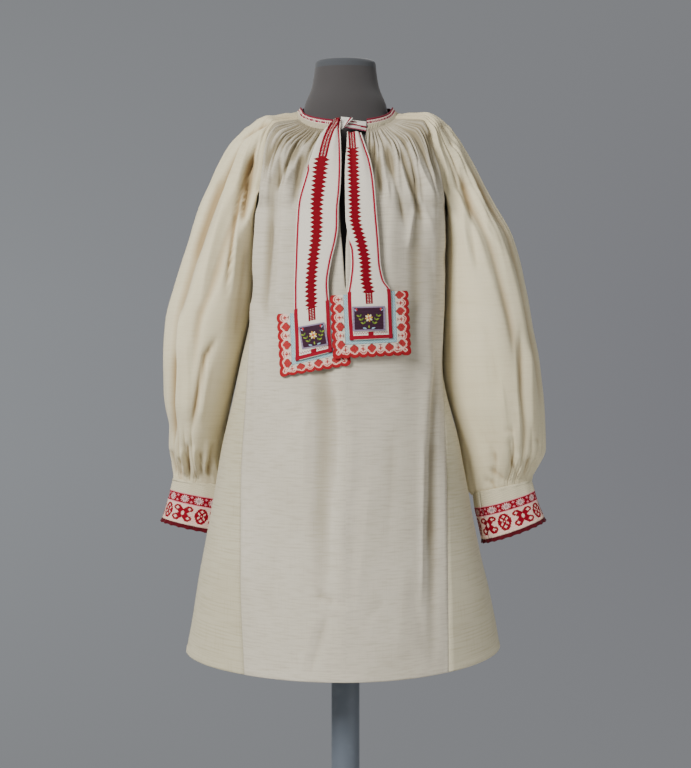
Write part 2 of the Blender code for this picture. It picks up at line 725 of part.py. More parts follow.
def cuff_point(side, turn, step):
    """A point of a cuff: turn runs 0 to 1 round it from its inner side by way of the front."""
    row = table_at(CUFFS[side], CUFF_COLUMNS, step)
    middle = (row["x_outer"] + row["x_inner"]) / 2
    half = (row["x_inner"] - row["x_outer"]) / 2
    angle = 2 * math.pi * turn
    x = middle + half * math.cos(angle)
    y = row["y_middle"] - row["half_depth"] * math.sin(angle)
    slope = (row["z_inner"] - row["z_outer"]) / 2
    z = (row["z_outer"] + row["z_inner"]) / 2 + slope * math.cos(angle) - row["drop"] * math.sin(angle)
    return np.array([x, y, z])


def cuff_rows(side, steps, turns, lap, wave):
    """Rows of a cuff or its edging, as an open strip whose end laps over its start."""
    rows = []
    for step, down in steps:
        row = []
        for turn in turns:
            ahead = cuff_point(side, turn + 0.005, step)
            behind = cuff_point(side, turn - 0.005, step)
            axis = cuff_point(side, turn, 3) - cuff_point(side, turn, 0)
            along = unit(axis)
            middle = (cuff_point(side, turn, step) + cuff_point(side, turn + 0.5, step)) / 2
            normal = unit(np.cross(ahead - behind, along))
            point = cuff_point(side, turn, step)
            if normal @ (point - middle) < 0:
                normal = -normal
            out = lap * smooth(turn, 0.88, 1.0)
            ruffle = wave * math.cos(2 * math.pi * EDGING_WAVES * turn)
            row.append((point + along * down + normal * (out + ruffle), normal))
        rows.append(row)
    return rows


def add_cuff(side):
    turns = [CUFF_START + CUFF_TURNS * j / 30 for j in range(31)]
    steps = [(0, 1.0 + BUTT_GAP), (1, 0.0), (2, 0.0), (3, 0.0)]
    add_wall("cuff_" + side, [cuff_rows(side, steps, turns, CUFF_LAP, 0.0)], CLOTH, WOVEN_WHITE)
    turns = [CUFF_START + CUFF_TURNS * j / 36 for j in range(37)]
    steps = [(3, BUTT_GAP), (3, BUTT_GAP + EDGING_HEIGHT)]
    rows = cuff_rows(side, steps[:1], turns, CUFF_LAP, 0.0)
    rows += cuff_rows(side, steps[1:], turns, CUFF_LAP + 1.2, EDGING_RUFFLE)
    add_wall("cuff_edging_" + side, [rows], CLOTH, CRIMSON)


def collar_ring():
    """Points all round the collar's lower line, from the slit's right edge over the back to its left."""
    ring = [panel_point(FRONT, 0.5 + 0.5 * j / 7, 0.0, "right") for j in range(7)]
    ring += [sleeve_point("right", OVER_ARC * j / 4, 0.0) for j in range(4)]
    ring += [panel_point(BACK, 1 - 0.5 * j / 6, 0.0, "right") for j in range(6)]
    ring += [panel_point(BACK, 0.5 - 0.5 * j / 6, 0.0, "left") for j in range(6)]
    ring += [sleeve_point("left", OVER_ARC * (1 - j / 4), 0.0) for j in range(4)]
    ring += [panel_point(FRONT, 0.5 * j / 7, 0.0, "left") for j in range(8)]
    return np.array(ring)


def add_neck_band():
    ring = collar_ring()
    lower = []
    upper = []
    for point in ring:
        flat = (point - NECK_CENTRE) * np.array([1, 1, 0])
        out = unit(flat)
        front = smooth(-out[1], 0.2, 1.0)
        height = COLLAR_SIDE_HEIGHT + (COLLAR_FRONT_HEIGHT - COLLAR_SIDE_HEIGHT) * front
        normal = unit(out + np.array([0.0, 0.0, 0.35]))
        up = np.array([0.0, 0.0, 1.0])
        lower.append((point + out * COLLAR_OUT + up * (BUTT_GAP + GATHER_RISE), normal))
        upper.append((point - out * COLLAR_IN + up * height, normal))
    middle = [((a[0] + b[0]) / 2 + a[1] * 0.5, a[1]) for a, b in zip(lower, upper)]
    add_wall("neck_band", [[upper, middle, lower]], BAND_CLOTH, LINEN)


def front_depth(x, z):
    """The y of the front's smooth surface at a place seen from the front."""
    low, high = 0.0, 3.0
    for _ in range(30):
        v = (low + high) / 2
        row = table_at(FRONT, FRONT_COLUMNS, v)
        held = min(max(x, row["x_left"] + 1), row["x_right"] - 1)
        low, high = (v, high) if body_ring(FRONT, v, held)[2] > z else (low, v)
    return body_ring(FRONT, low, held)[1]


def tie_point(side, across, step):
    """A point of a hanging tie end: across runs 0 to 1 from its left edge to its right."""
    row = table_at(TIES[side], TIE_COLUMNS, step)
    x = row["x_left"] + (row["x_right"] - row["x_left"]) * across
    z = row["z_left"] + (row["z_right"] - row["z_left"]) * across
    lift = TIE_LIFT if side == "left" else RIGHT_TIE_LIFT
    lift += 7.0 * (1 - smooth(step, 0.0, 2.5)) if side == "left" else 0.0
    return np.array([x, front_depth(x, z) - lift, z])


def add_tie(side):
    last = TIES[side][-1][0]
    columns = 4
    rows = []
    for i in range(19):
        step = last * i / 18
        row = []
        for j in range(columns + 1):
            across = j / columns
            curl = TIE_CURL * (2 * across - 1) ** 2
            row.append((tie_point(side, across, step) - FORWARD * curl, FORWARD))
        rows.append(row)
    add_wall("tie_" + side, [rows], CLOTH, WOVEN_WHITE)


def border_line(side, out):
    """The line round a tie's end at a distance out from its edge: points in x and z, and lengths."""
    first, last = TIE_END_ROWS[side]
    top = table_at(TIES[side], TIE_COLUMNS, first)
    end = table_at(TIES[side], TIE_COLUMNS, last)
    corners = np.array(
        [
            (top["x_left"], top["z_left"]),
            (end["x_left"], end["z_left"]),
            (end["x_right"], end["z_right"]),
            (top["x_right"], top["z_right"]),
        ]
    )
    ways = [corners[i + 1] - corners[i] for i in range(3)]
    ways = [way / np.linalg.norm(way) for way in ways]
    sides = [np.array([way[1], -way[0]]) for way in ways]
    bisect_left = sides[0] + sides[1]
    bisect_right = sides[1] + sides[2]
    bisect_left = bisect_left / (bisect_left @ sides[1])
    bisect_right = bisect_right / (bisect_right @ sides[1])
    return [
        corners[0] + sides[0] * out,
        corners[1] + bisect_left * out,
        corners[2] + bisect_right * out,
        corners[3] + sides[2] * out,
    ]


def border_rows(side, inner, outer, lift, scallop):
    """Rows of a flat border round a tie's end, from its inner line to its outer one. Each side
    holds a whole number of scallops, of SCALLOP_STEPS steps each."""
    near = border_line(side, inner)
    far = border_line(side, outer)
    rows = [[], []]
    for i in range(3):
        waves = round(float(np.linalg.norm(far[i + 1] - far[i])) / SCALLOP_PITCH)
        steps = SCALLOP_STEPS * waves
        for j in range(steps + (i == 2)):
            share = j / steps
            a = near[i] + (near[i + 1] - near[i]) * share
            b = far[i] + (far[i + 1] - far[i]) * share
            wave = scallop * abs(math.sin(math.pi * waves * share))
            b = b + (b - a) / np.linalg.norm(b - a) * (wave - scallop)
            for row, (x, z) in zip(rows, (a, b)):
                row.append((np.array([x, front_depth(x, z) - lift, z]), FORWARD))
    return rows


def add_borders(side):
    lift = (TIE_LIFT if side == "left" else RIGHT_TIE_LIFT) - TIE_CURL - CLOTH - SEAM_GAP
    braid = border_rows(side, -BRAID_TUCK, BRAID_WIDTH, lift, 0.0)
    add_wall("braid_" + side, [braid], LACE_CLOTH, BRAID_BLUE)
    far = BRAID_WIDTH + LACE_WIDTH
    lace = border_rows(side, BRAID_WIDTH + SEAM_GAP, far, lift, SCALLOP_DEPTH)
    add_wall("lace_" + side, [lace], LACE_CLOTH, LACE_RED)


def add_knot():
    """The band across the opening at the neck, and the turn of the tie that wraps it."""
    rows = []
    for z_left, z_right, out in CROSSBAND_ROWS:
        row = []
        for j in range(9):
            share = j / 8
            x = CROSSBAND_X[0] + (CROSSBAND_X[1] - CROSSBAND_X[0]) * share
            z = z_left + (z_right - z_left) * share
            y = CROSSBAND_Y[0] + (CROSSBAND_Y[1] - CROSSBAND_Y[0]) * share**2 - out
            row.append((np.array([x, y, z]), FORWARD))
        rows.append(row)
    add_wall("tie_crossband", [rows], CLOTH, WOVEN_WHITE)
    rows = []
    for share in (0.0, 0.25, 0.5, 0.75, 1.0):
        row = []
        for across in (0.0, 0.33, 0.67, 1.0):
            left = np.array(KNOT_LEFT[0]) * (1 - across) + np.array(KNOT_LEFT[1]) * across
            right = np.array(KNOT_RIGHT[0]) * (1 - across) + np.array(KNOT_RIGHT[1]) * across
            x, z = left + (right - left) * share
            y = KNOT_Y - KNOT_BULGE * math.sin(math.pi * across)
            row.append((np.array([x, y, z]), FORWARD))
        rows.append(row)
    add_wall("tie_knot", [rows], CLOTH, WOVEN_WHITE)


def add_form():
    segments = 24
    rings = []
    for z, half_width, y_front, y_back in FORM:
        ring = []
        for j in range(segments):
            angle = 2 * math.pi * j / segments
            x = half_width * math.sin(angle)
            y = math.cos(angle) * (y_back if math.cos(angle) > 0 else -y_front)
            ring.append(np.array([x, y, z]))
        rings.append(ring)
    points, faces = loft(rings)
    add_object("dress_form", points, faces, FORM_GREY, 0.85)


def turned(profile, segments):
    """A solid turned round the Z axis from (radius, height) pairs."""
    rings = []
    for radius, height in profile:
        angles = [2 * math.pi * j / segments for j in range(segments)]
        rings.append([np.array([radius * math.cos(a), radius * math.sin(a), height]) for a in angles])
    return loft(rings)


def add_stand():
    edge = 3.0
    top = BASE_HEIGHT
    profile = ((BASE_RADIUS, 0), (BASE_RADIUS, top - edge), (BASE_RADIUS - edge, top))
    points, faces = turned(profile, 48)
    add_object("stand_base", points, faces, STAND_GREY, 0.5, 0.2)
    profile = ((POLE_RADIUS, top + TOUCH_GAP), (POLE_RADIUS, POLE_TOP))
    points, faces = turned(profile, 24)
    add_object("stand_pole", points, faces, STAND_GREY, 0.5, 0.2)


def clear_scene():
    for obj in list(bpy.data.objects):
        bpy.data.objects.remove(obj, do_unlink=True)


clear_scene()
add_stand()
add_form()
add_panel("body_front", FRONT)
add_panel("body_back", BACK)
for name_side in ("left", "right"):
    add_gore(name_side)
    add_sleeve(name_side)
    add_cuff(name_side)
    add_tie(name_side)
    add_borders(name_side)
add_neck_band()
add_knot()
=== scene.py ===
"""The looks of a long gathered folk blouse with a knotted neck tie, worn on a limbless dress form.

The front faces -Y and +Z is up. "Left" and "right" are the viewer's, so left is -X. The cloth's tables and
sizes are in millimetres, as it was cut, and each mesh is made in metres.
"""

import math

import bmesh
import bpy
import numpy as np
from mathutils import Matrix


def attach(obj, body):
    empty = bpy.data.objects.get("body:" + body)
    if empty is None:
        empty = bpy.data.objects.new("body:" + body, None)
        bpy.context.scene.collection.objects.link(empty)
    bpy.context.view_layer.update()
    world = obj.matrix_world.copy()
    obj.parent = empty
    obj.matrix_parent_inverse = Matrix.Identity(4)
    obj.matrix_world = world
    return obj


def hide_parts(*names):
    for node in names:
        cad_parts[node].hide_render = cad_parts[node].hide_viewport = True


MM = 0.001

# The eye of the photograph: straight in front, level, and far enough for a portrait frame.
EYE_DISTANCE = 4500.0
EYE_HEIGHT = 956.5
LENS = 120.5

CLOTH = 1.8
SEAM_GAP = 0.5
BUTT_GAP = 0.6
CUFF_GATHERS = 16
OVER_ARC = 0.75
GORE_TOP = 1.5
BASE_RADIUS = 190.0
BASE_HEIGHT = 12.0
POLE_RADIUS = 24.5
POLE_TOP = 719.0
# How far each tie lies out from the front, and how much further the left one does at the knot.
TIE_LIFTS = {"left": 10.0, "right": 15.0}
KNOT_LIFTS = {"left": 7.0, "right": 0.0}
LACE_WIDTH = 22.0
BRAID_WIDTH = 8.0
BRAID_TUCK = 3.0
TIE_CURL = 1.2
SCALLOP_PITCH = 14.5
SCALLOP_DEPTH = 3.2
CUFF_START = 0.055
CUFF_TURNS = 1.045
CUFF_LAP = 2.9
EDGING_HEIGHT = 6.0
EDGING_WAVES = 22
NECK_CENTRE = (2.0, -1.0, 0.0)
COLLAR_FRONT_HEIGHT = 17.5
COLLAR_SIDE_HEIGHT = 12.5
COLLAR_OUT = 1.0
COLLAR_IN = 3.5

# Half of the body's front, from collar to hem: the two side edges, the middle and the ring's shape.
# square is the power that bends the ring: 1 an ellipse, less boxier, more a sharp side corner.
# reach is the angle in degrees from the ring's middle to its edge.
FRONT_COLUMNS = "v x_left x_right y_side z_left z_right y_middle z_middle square reach"
FRONT = (
    (0.00, -81, 85, -29, 1417, 1418, -84, 1393, 1.00, 70),
    (0.12, -99, 106, -38, 1414, 1416, -93, 1377, 0.95, 74),
    (0.25, -121, 133, -50, 1409, 1414, -101, 1357, 0.85, 80),
    (0.40, -135, 145, -57, 1387, 1394, -109, 1337, 0.75, 86),
    (0.60, -141, 153, -59, 1352, 1360, -116, 1314, 0.68, 90),
    (0.80, -144, 163, -56, 1321, 1328, -121, 1296, 0.62, 90),
    (1.00, -148, 169, -48, 1291, 1291, -124, 1280, 0.58, 90),
    (1.05, -149, 171, -26, 1277, 1277, -126, 1264, 0.56, 90),
    (1.10, -150, 172, 0, 1262, 1262, -128, 1250, 0.56, 90),
    (1.25, -154, 173, 0, 1200, 1200, -133, 1194, 0.64, 90),
    (1.50, -163, 171, 0, 1093, 1093, -136, 1090, 0.75, 90),
    (1.75, -184, 169, 0, 990, 990, -136, 988, 0.85, 90),
    (2.08, -214, 198, 0, 858, 858, -138, 852, 1.05, 90),
    (2.48, -243, 229, 0, 698, 698, -143, 682, 1.30, 90),
    (2.80, -266, 258, 0, 568, 572, -149, 537, 1.50, 90),
    (3.00, -279, 271, 0, 491, 499, -152, 451, 1.60, 90),
)
BACK = (
    (0.00, -82, 85, 29, 1437, 1437, 80, 1446, 1.00, 70),
    (0.12, -99, 106, 38, 1430, 1430, 89, 1432, 0.95, 74),
    (0.25, -121, 133, 48, 1419, 1421, 98, 1415, 0.85, 80),
    (0.40, -135, 145, 54, 1392, 1398, 106, 1393, 0.75, 86),
    (0.60, -141, 153, 55, 1356, 1362, 112, 1362, 0.68, 90),
    (0.80, -144, 163, 52, 1323, 1329, 116, 1326, 0.62, 90),
    (1.00, -148, 169, 46, 1291, 1291, 118, 1290, 0.58, 90),
    (1.05, -149, 171, 25, 1277, 1277, 118, 1274, 0.56, 90),
    (1.10, -150, 172, 0, 1262, 1262, 119, 1258, 0.56, 90),
    (1.25, -154, 173, 0, 1200, 1200, 119, 1196, 0.64, 90),
    (1.50, -163, 171, 0, 1093, 1093, 118, 1090, 0.75, 90),
    (1.75, -184, 169, 0, 990, 990, 120, 987, 0.85, 90),
    (2.08, -214, 198, 0, 858, 858, 126, 850, 1.05, 90),
    (2.48, -243, 229, 0, 698, 698, 136, 682, 1.30, 90),
    (2.80, -266, 258, 0, 568, 572, 145, 540, 1.50, 90),
    (3.00, -279, 271, 0, 491, 499, 150, 455, 1.60, 90),
)

# Where the front and back panels meet the side gores, below the gores' tips.
GORE_COLUMNS = "v x_left x_right"
GORE_SEAMS = (
    (1.50, -163, 171),
    (1.62, -166, 168),
    (1.75, -169, 168),
    (1.93, -173, 171),
    (2.28, -180, 175),
    (2.61, -180, 176),
    (3.00, -173, 177),
)

# The two edges of the centre-front slit, by height.
SLIT_COLUMNS = "z x_left x_right"
SLIT_END = 1118.0
SLIT = (
    (1118, 0, 0.9),
    (1150, -2.6, 0.2),
    (1184, -5, 0.5),
    (1232, -9, 5),
    (1305, -11, 20),
    (1364, -13, 33),
    (1393, -15, 38),
)

# The sleeves above the armpit: the outermost line, which runs over the shoulder.
SHOULDER_COLUMNS = "v x_left z_left x_right z_right"
SHOULDER = (
    (0.00, -87, 1429, 91, 1429),
    (0.12, -107, 1427, 114, 1429),
    (0.25, -135, 1421, 138, 1430),
    (0.40, -166, 1405, 166, 1417),
    (0.60, -198, 1377, 192, 1387),
    (0.80, -221, 1341, 219, 1348),
    (1.00, -243, 1296, 248, 1296),
)

# The sleeves below the armpit: rings given by their outer, widest and inner lines.
SLEEVE_COLUMNS = "v z_outer z_inner x_outer x_split x_inner y_middle y_half"
SLEEVES = {
    "left": (
        (1.000, 1296, 1291, -243, -150, -156, -1, 47),
        (1.060, 1270, 1267, -254, -159, -157, -1, 58),
        (1.210, 1208, 1208, -274, -188, -160, 0, 73),
        (1.425, 1121, 1121, -300, -217, -167, 2, 82),
        (1.565, 1065, 1065, -313, -238, -175, 5, 84),
        (1.750, 990, 990, -318, -250, -192, 12, 81),
        (1.930, 920, 920, -315, -258, -208, 22, 76),
        (2.030, 880, 878, -312, -262, -217, 35, 69),
        (2.120, 842, 840, -312, -262, -221, 50, 57),
        (2.190, 812, 806, -307, -258, -216, 61, 42),
        (2.245, 793, 780, -306, -256, -206, 67, 28),
    ),
    "right": (
        (1.000, 1296, 1291, 248, 171, 177, -1, 47),
        (1.060, 1270, 1267, 262, 180, 178, -1, 58),
        (1.210, 1208, 1208, 295, 208, 180, 0, 73),
        (1.425, 1121, 1121, 316, 236, 180, 3, 82),
        (1.565, 1065, 1065, 326, 252, 180, 5, 84),
        (1.750, 990, 990, 341, 264, 182, 9, 81),
        (1.930, 920, 920, 349, 274, 193, 13, 76),
        (2.030, 880, 878, 351, 280, 206, 18, 69),
        (2.120, 842, 838, 350, 284, 216, 22, 57),
        (2.190, 815, 800, 338, 282, 223, 25, 42),
        (2.245, 793, 770, 327, 276, 226, 27, 28),
    ),
}

# The cuffs, from the gathers down to the edging: step is 0 at the top, 1 the red band's top,
# 2 the line between its two rows of stitching and 3 its lower edge.
CUFF_COLUMNS = "step x_outer z_outer x_inner z_inner half_depth y_middle drop"
CUFFS = {
    "left": (
        (0, -306, 792, -206, 779, 28, 67, 1.0),
        (1, -312, 769, -208, 750, 27, 69, 2.0),
        (2, -318, 746, -211, 725, 27, 71, 2.5),
        (3, -326, 720, -216, 697, 28, 72, 3.0),
    ),
    "right": (
        (0, 327, 792, 226, 769, 28, 27, 2.0),
        (1, 334, 769, 230, 739, 27, 28, 4.0),
        (2, 340, 748, 235, 717, 27, 29, 4.5),
        (3, 350, 723, 242, 685, 28, 29, 5.0),
    ),
}
# Soft folds below the gathers: where each starts and ends, how wide it is in u and how high.
FOLD_COLUMNS = "u_top u_bottom v_top v_bottom width height"
FRONT_FOLDS = (
    (0.10, 0.07, 0.6, 2.3, 0.030, 5.0),
    (0.19, 0.16, 0.5, 1.7, 0.035, -5.0),
    (0.28, 0.25, 0.4, 2.0, 0.035, 4.5),
    (0.42, 0.40, 1.0, 2.9, 0.050, -5.0),
    (0.47, 0.48, 1.4, 3.1, 0.040, 4.0),
    (0.63, 0.65, 0.4, 1.8, 0.035, 5.0),
    (0.74, 0.76, 0.5, 2.0, 0.035, -5.0),
    (0.83, 0.86, 0.6, 2.6, 0.035, 5.0),
    (0.90, 0.91, 1.5, 3.1, 0.030, -5.0),
)
BACK_FOLDS = (
    (0.12, 0.09, 0.6, 2.5, 0.035, 5.0),
    (0.24, 0.21, 0.5, 2.0, 0.040, -5.0),
    (0.36, 0.33, 0.5, 2.8, 0.040, 5.0),
    (0.50, 0.51, 0.6, 3.1, 0.050, -5.5),
    (0.63, 0.67, 0.5, 2.4, 0.040, 5.0),
    (0.76, 0.80, 0.5, 2.1, 0.040, -5.0),
    (0.88, 0.91, 0.6, 2.7, 0.035, 5.0),
)
SLEEVE_FOLDS = {
    "left": (
        (0.05, 0.05, 0.5, 2.1, 0.028, -7.0),
        (0.12, 0.13, 0.3, 1.9, 0.030, 5.0),
        (0.20, 0.19, 0.4, 2.2, 0.030, -6.0),
        (0.28, 0.30, 0.6, 2.2, 0.035, 5.0),
        (0.46, 0.45, 0.3, 2.2, 0.035, -5.0),
        (0.56, 0.58, 0.4, 2.2, 0.035, 5.0),
        (0.67, 0.66, 0.5, 2.0, 0.030, -6.0),
    ),
    "right": (
        (0.04, 0.06, 0.1, 1.6, 0.028, 6.0),
        (0.10, 0.11, 0.6, 2.1, 0.028, -6.0),
        (0.18, 0.20, 0.4, 2.2, 0.032, 5.0),
        (0.27, 0.26, 0.5, 2.2, 0.032, -5.0),
        (0.45, 0.47, 0.3, 2.1, 0.035, 5.0),
        (0.57, 0.56, 0.4, 2.2, 0.035, -5.0),
        (0.68, 0.67, 0.5, 2.1, 0.030, 5.0),
    ),
}

# The two hanging ends of the tie, as seen from the front: both edges from the knot down.
TIE_COLUMNS = "step x_left z_left x_right z_right"
TIES = {
    "left": (
        (0.0, -16, 1412, -10, 1413),
        (0.6, -32, 1396, -5, 1396),
        (1.2, -46, 1377, -3, 1374),
        (2.2, -61, 1338, -2, 1333),
        (3.2, -71, 1304, -3, 1297),
        (4.2, -82, 1261, -7, 1255),
        (5.4, -86, 1201, -15, 1201),
        (6.4, -87, 1158, -24, 1163),
        (7.4, -88, 1116, -29, 1126),
        (8.2, -88, 1077, -27, 1094),
        (9.0, -86, 1036, -25, 1051),
        (9.8, -85, 995, -22, 1011),
    ),
    "right": (
        (0.0, 3, 1388, 27, 1388),
        (0.6, 2, 1360, 36, 1360),
        (1.2, 0, 1338, 43, 1338),
        (2.2, -1, 1304, 49, 1304),
        (3.6, 0, 1240, 54, 1240),
        (4.8, 7, 1192, 58, 1192),
        (5.6, 9, 1163, 60, 1163),
        (6.4, 6, 1133, 66, 1136),
        (7.0, 3, 1112, 77, 1118),
        (7.8, 4, 1079, 79, 1079),
        (8.6, 7, 1034, 81, 1038),
    ),
}
TIE_END_ROWS = {"left": (8.2, 9.8), "right": (7.0, 8.6)}

# The band across the opening at the neck: its rows from the top down, their heights at its left and
# right ends, and how far they bulge out.
CROSSBAND_ROWS = ((1412, 1408, 0.0), (1406, 1400, 1.5), (1399, 1391, 0.0))
CROSSBAND_X = (-15, 36)
CROSSBAND_Y = (-88, -78)

# The turn of the tie that wraps the crossband: its upper and lower corners, each as x and z.
KNOT_LEFT = ((-7.5, 1415), (-7.5, 1393))
KNOT_RIGHT = ((13, 1413), (-4, 1394))
KNOT_Y = -91.5
KNOT_BULGE = 2.0

# The dress form, from its underside to the top of its neck.
FORM_COLUMNS = "z half_width y_front y_back"
FORM = (
    (720, 118, -78, 78),
    (726, 136, -92, 92),
    (745, 146, -100, 101),
    (850, 150, -104, 108),
    (940, 136, -96, 92),
    (1010, 124, -92, 82),
    (1090, 134, -104, 88),
    (1180, 141, -115, 97),
    (1250, 140, -108, 100),
    (1310, 139, -94, 98),
    (1350, 138, -84, 92),
    (1376, 128, -76, 84),
    (1392, 112, -69, 76),
    (1404, 92, -66, 70),
    (1420, 77, -66, 67),
    (1445, 71, -65, 66),
    (1475, 59, -58, 60),
    (1505, 54, -54, 54),
    (1516, 53, -53, 53),
    (1521, 50, -50, 50),
    (1523, 44, -44, 44),
)

# Creases as seen from the front: width, height (a trough is below 0) and the line's points in x and z.
FRONT_CREASES = (
    (5.2, 2.5, ((-67, 1389), (-88, 1340), (-108, 1296))),
    (5.2, -3.2, ((-80, 1384), (-101, 1345), (-127, 1286))),
    (5.2, 2.5, ((-95, 1387), (-118, 1348), (-139, 1306))),
    (6.1, -3.2, ((-73, 1366), (-85, 1314), (-95, 1258))),
    (5.2, -2.5, ((-108, 1392), (-129, 1362), (-143, 1331))),
    (5.2, 3.0, ((-144, 1286), (-151, 1200), (-153, 1118))),
    (10.5, -2.0, ((-132, 1258), (-139, 1156), (-143, 1048))),
    (15.8, 1.5, ((-104, 1278), (-115, 1165), (-120, 1051))),
    (5.6, 3.5, ((-157, 1110), (-165, 1023), (-171, 950))),
    (6.3, 4.0, ((-169, 970), (-178, 883), (-183, 788))),
    (7.4, 3.5, ((-183, 813), (-183, 684), (-176, 568))),
    (7.4, 2.2, ((-169, 608), (-164, 544), (-162, 488))),
    (5.6, -3.5, ((71, 1385), (85, 1320), (109, 1222))),
    (5.6, 3.0, ((81, 1387), (102, 1320), (127, 1252))),
    (6.3, -3.5, ((92, 1378), (116, 1303), (144, 1230))),
    (5.6, 3.0, ((104, 1385), (130, 1334), (158, 1270))),
    (5.2, 2.5, ((57, 1389), (67, 1331), (80, 1258))),
    (5.2, -2.8, ((48, 1380), (57, 1331), (67, 1272))),
    (5.6, 2.5, ((122, 1273), (115, 1233), (109, 1188))),
    (4.9, 2.2, ((125, 1296), (139, 1258), (153, 1216))),
    (5.2, -3.0, ((143, 1399), (158, 1371), (171, 1338))),
    (6.0, 3.0, ((160, 1306), (167, 1240), (167, 1166))),
    (10.5, -2.0, ((148, 1208), (153, 1130), (155, 1048))),
    (7.0, 2.8, ((167, 1188), (167, 1090), (165, 984))),
    (15.8, 3.0, ((-67, 942), (-73, 858), (-74, 743))),
    (14.0, -3.8, ((-22, 967), (-15, 876), (-17, 743))),
    (15.8, 2.0, ((11, 932), (11, 841), (8, 732))),
    (7.0, -3.2, ((-57, 592), (-27, 578), (11, 566))),
    (7.0, 2.2, ((-48, 577), (-17, 561), (18, 549))),
    (8.8, -1.6, ((4, 572), (36, 540))),
    (8.8, -2.0, ((-29, 561), (-48, 500), (-66, 438))),
    (10.5, 1.6, ((-45, 561), (-66, 500), (-81, 446))),
    (8.8, -1.8, ((74, 584), (50, 558), (25, 530))),
    (5.2, 3.0, ((134, 876), (134, 718), (132, 550))),
    (10.5, -3.2, ((150, 886), (150, 754), (148, 638))),
    (7.4, 3.8, ((176, 883), (178, 684), (183, 505))),
    (17.5, -1.8, ((85, 883), (80, 771), (74, 645))),
    (15.8, 1.6, ((46, 806), (29, 648), (11, 508))),
    (17.5, -1.6, ((-111, 788), (-122, 648), (-136, 508))),
    (5.2, 1.2, ((-85, 732), (-109, 690), (-136, 648))),
    (15.8, 1.4, ((102, 648), (99, 561), (88, 460))),
    (14.0, -1.4, ((116, 605), (130, 526), (148, 466))),
)
LEFT_CREASES = (
    (3.5, -3.4, ((-127, 1417), (-158, 1401), (-188, 1382))),
    (5.2, 2.2, ((-122, 1424), (-160, 1412), (-188, 1394))),
    (4.2, -5.0, ((-141, 1403), (-164, 1354), (-188, 1280), (-200, 1191), (-213, 1082))),
    (5.2, 4.0, ((-155, 1366), (-179, 1305), (-192, 1226), (-202, 1072))),
    (6.3, -7.5, ((-160, 1362), (-172, 1324), (-179, 1258), (-178, 1230))),
    (7.0, -8.5, ((-172, 1212), (-179, 1147), (-188, 1072), (-195, 1016))),
    (4.9, 3.6, ((-150, 1338), (-164, 1258), (-167, 1191), (-176, 1082))),
    (10.5, -2.6, ((-216, 1328), (-246, 1247), (-274, 1163))),
    (8.8, 3.2, ((-199, 1328), (-221, 1235), (-242, 1156), (-258, 1076))),
    (5.6, -3.6, ((-298, 1025), (-304, 922), (-300, 841))),
    (7.0, 3.0, ((-290, 1100), (-290, 988), (-295, 872))),
    (6.0, -4.2, ((-216, 1054), (-246, 1004), (-256, 956), (-267, 894), (-270, 862))),
    (7.0, 3.2, ((-237, 1006), (-248, 942), (-256, 880))),
    (7.4, 4.0, ((-207, 1118), (-209, 1051), (-207, 988), (-214, 918))),
    (7.0, -4.0, ((-195, 1012), (-204, 967), (-216, 920))),
    (12.2, 1.8, ((-279, 1051), (-274, 964), (-279, 876))),
    (4.2, -3.6, ((-277, 857), (-274, 788))),
    (3.9, -3.2, ((-253, 844), (-253, 788))),
    (3.9, -3.0, ((-291, 830), (-288, 788))),
    (4.2, -3.4, ((-230, 862), (-241, 788))),
    (3.9, -2.8, ((-307, 844), (-295, 794))),
    (4.5, 2.6, ((-286, 848), (-281, 792))),
    (4.5, 2.6, ((-265, 852), (-263, 792))),
    (4.5, 2.6, ((-241, 862), (-248, 796))),
)
RIGHT_CREASES = (
    (5.2, 4.5, ((151, 1424), (160, 1373), (176, 1331))),
    (5.2, -5.0, ((143, 1390), (162, 1348), (171, 1296))),
    (5.2, -4.5, ((164, 1417), (183, 1387), (190, 1361))),
    (5.2, 3.0, ((172, 1415), (193, 1380), (207, 1348))),
    (7.0, 3.6, ((176, 1352), (178, 1296), (188, 1208), (199, 1104))),
    (5.2, 3.4, ((195, 1370), (202, 1280), (213, 1191), (228, 1118))),
    (7.0, -3.4, ((204, 1347), (218, 1258), (225, 1191), (232, 1138))),
    (5.2, 3.0, ((211, 1342), (234, 1280), (251, 1224), (281, 1180))),
    (7.0, -3.4, ((220, 1342), (246, 1280), (267, 1235), (291, 1177), (300, 1121))),
    (12.2, -2.2, ((237, 1079), (248, 1040), (260, 976), (277, 908))),
    (14.0, 2.4, ((218, 1086), (230, 1012), (246, 936))),
    (5.2, 2.8, ((267, 978), (276, 932), (279, 876), (291, 810))),
    (6.6, -3.8, ((305, 1068), (309, 1009), (307, 942), (314, 876), (316, 808))),
    (5.6, 2.8, ((297, 1058), (300, 965), (304, 897), (307, 838))),
    (6.3, 2.6, ((321, 1034), (325, 922), (328, 852))),
    (4.5, -2.4, ((276, 878), (297, 872))),
    (5.2, -3.4, ((234, 876), (258, 843), (269, 806))),
    (4.5, -3.8, ((286, 867), (291, 820), (302, 790))),
    (4.2, -4.0, ((251, 810), (283, 785))),
    (3.9, -3.2, ((242, 792), (265, 778))),
    (5.2, 3.0, ((242, 872), (272, 827), (283, 799))),
    (4.2, -2.4, ((333, 862), (340, 853))),
    (4.2, -3.0, ((323, 830), (311, 790))),
    (4.5, 2.6, ((304, 838), (307, 792))),
    (8.8, -2.4, ((195, 1051), (206, 964), (221, 886))),
)

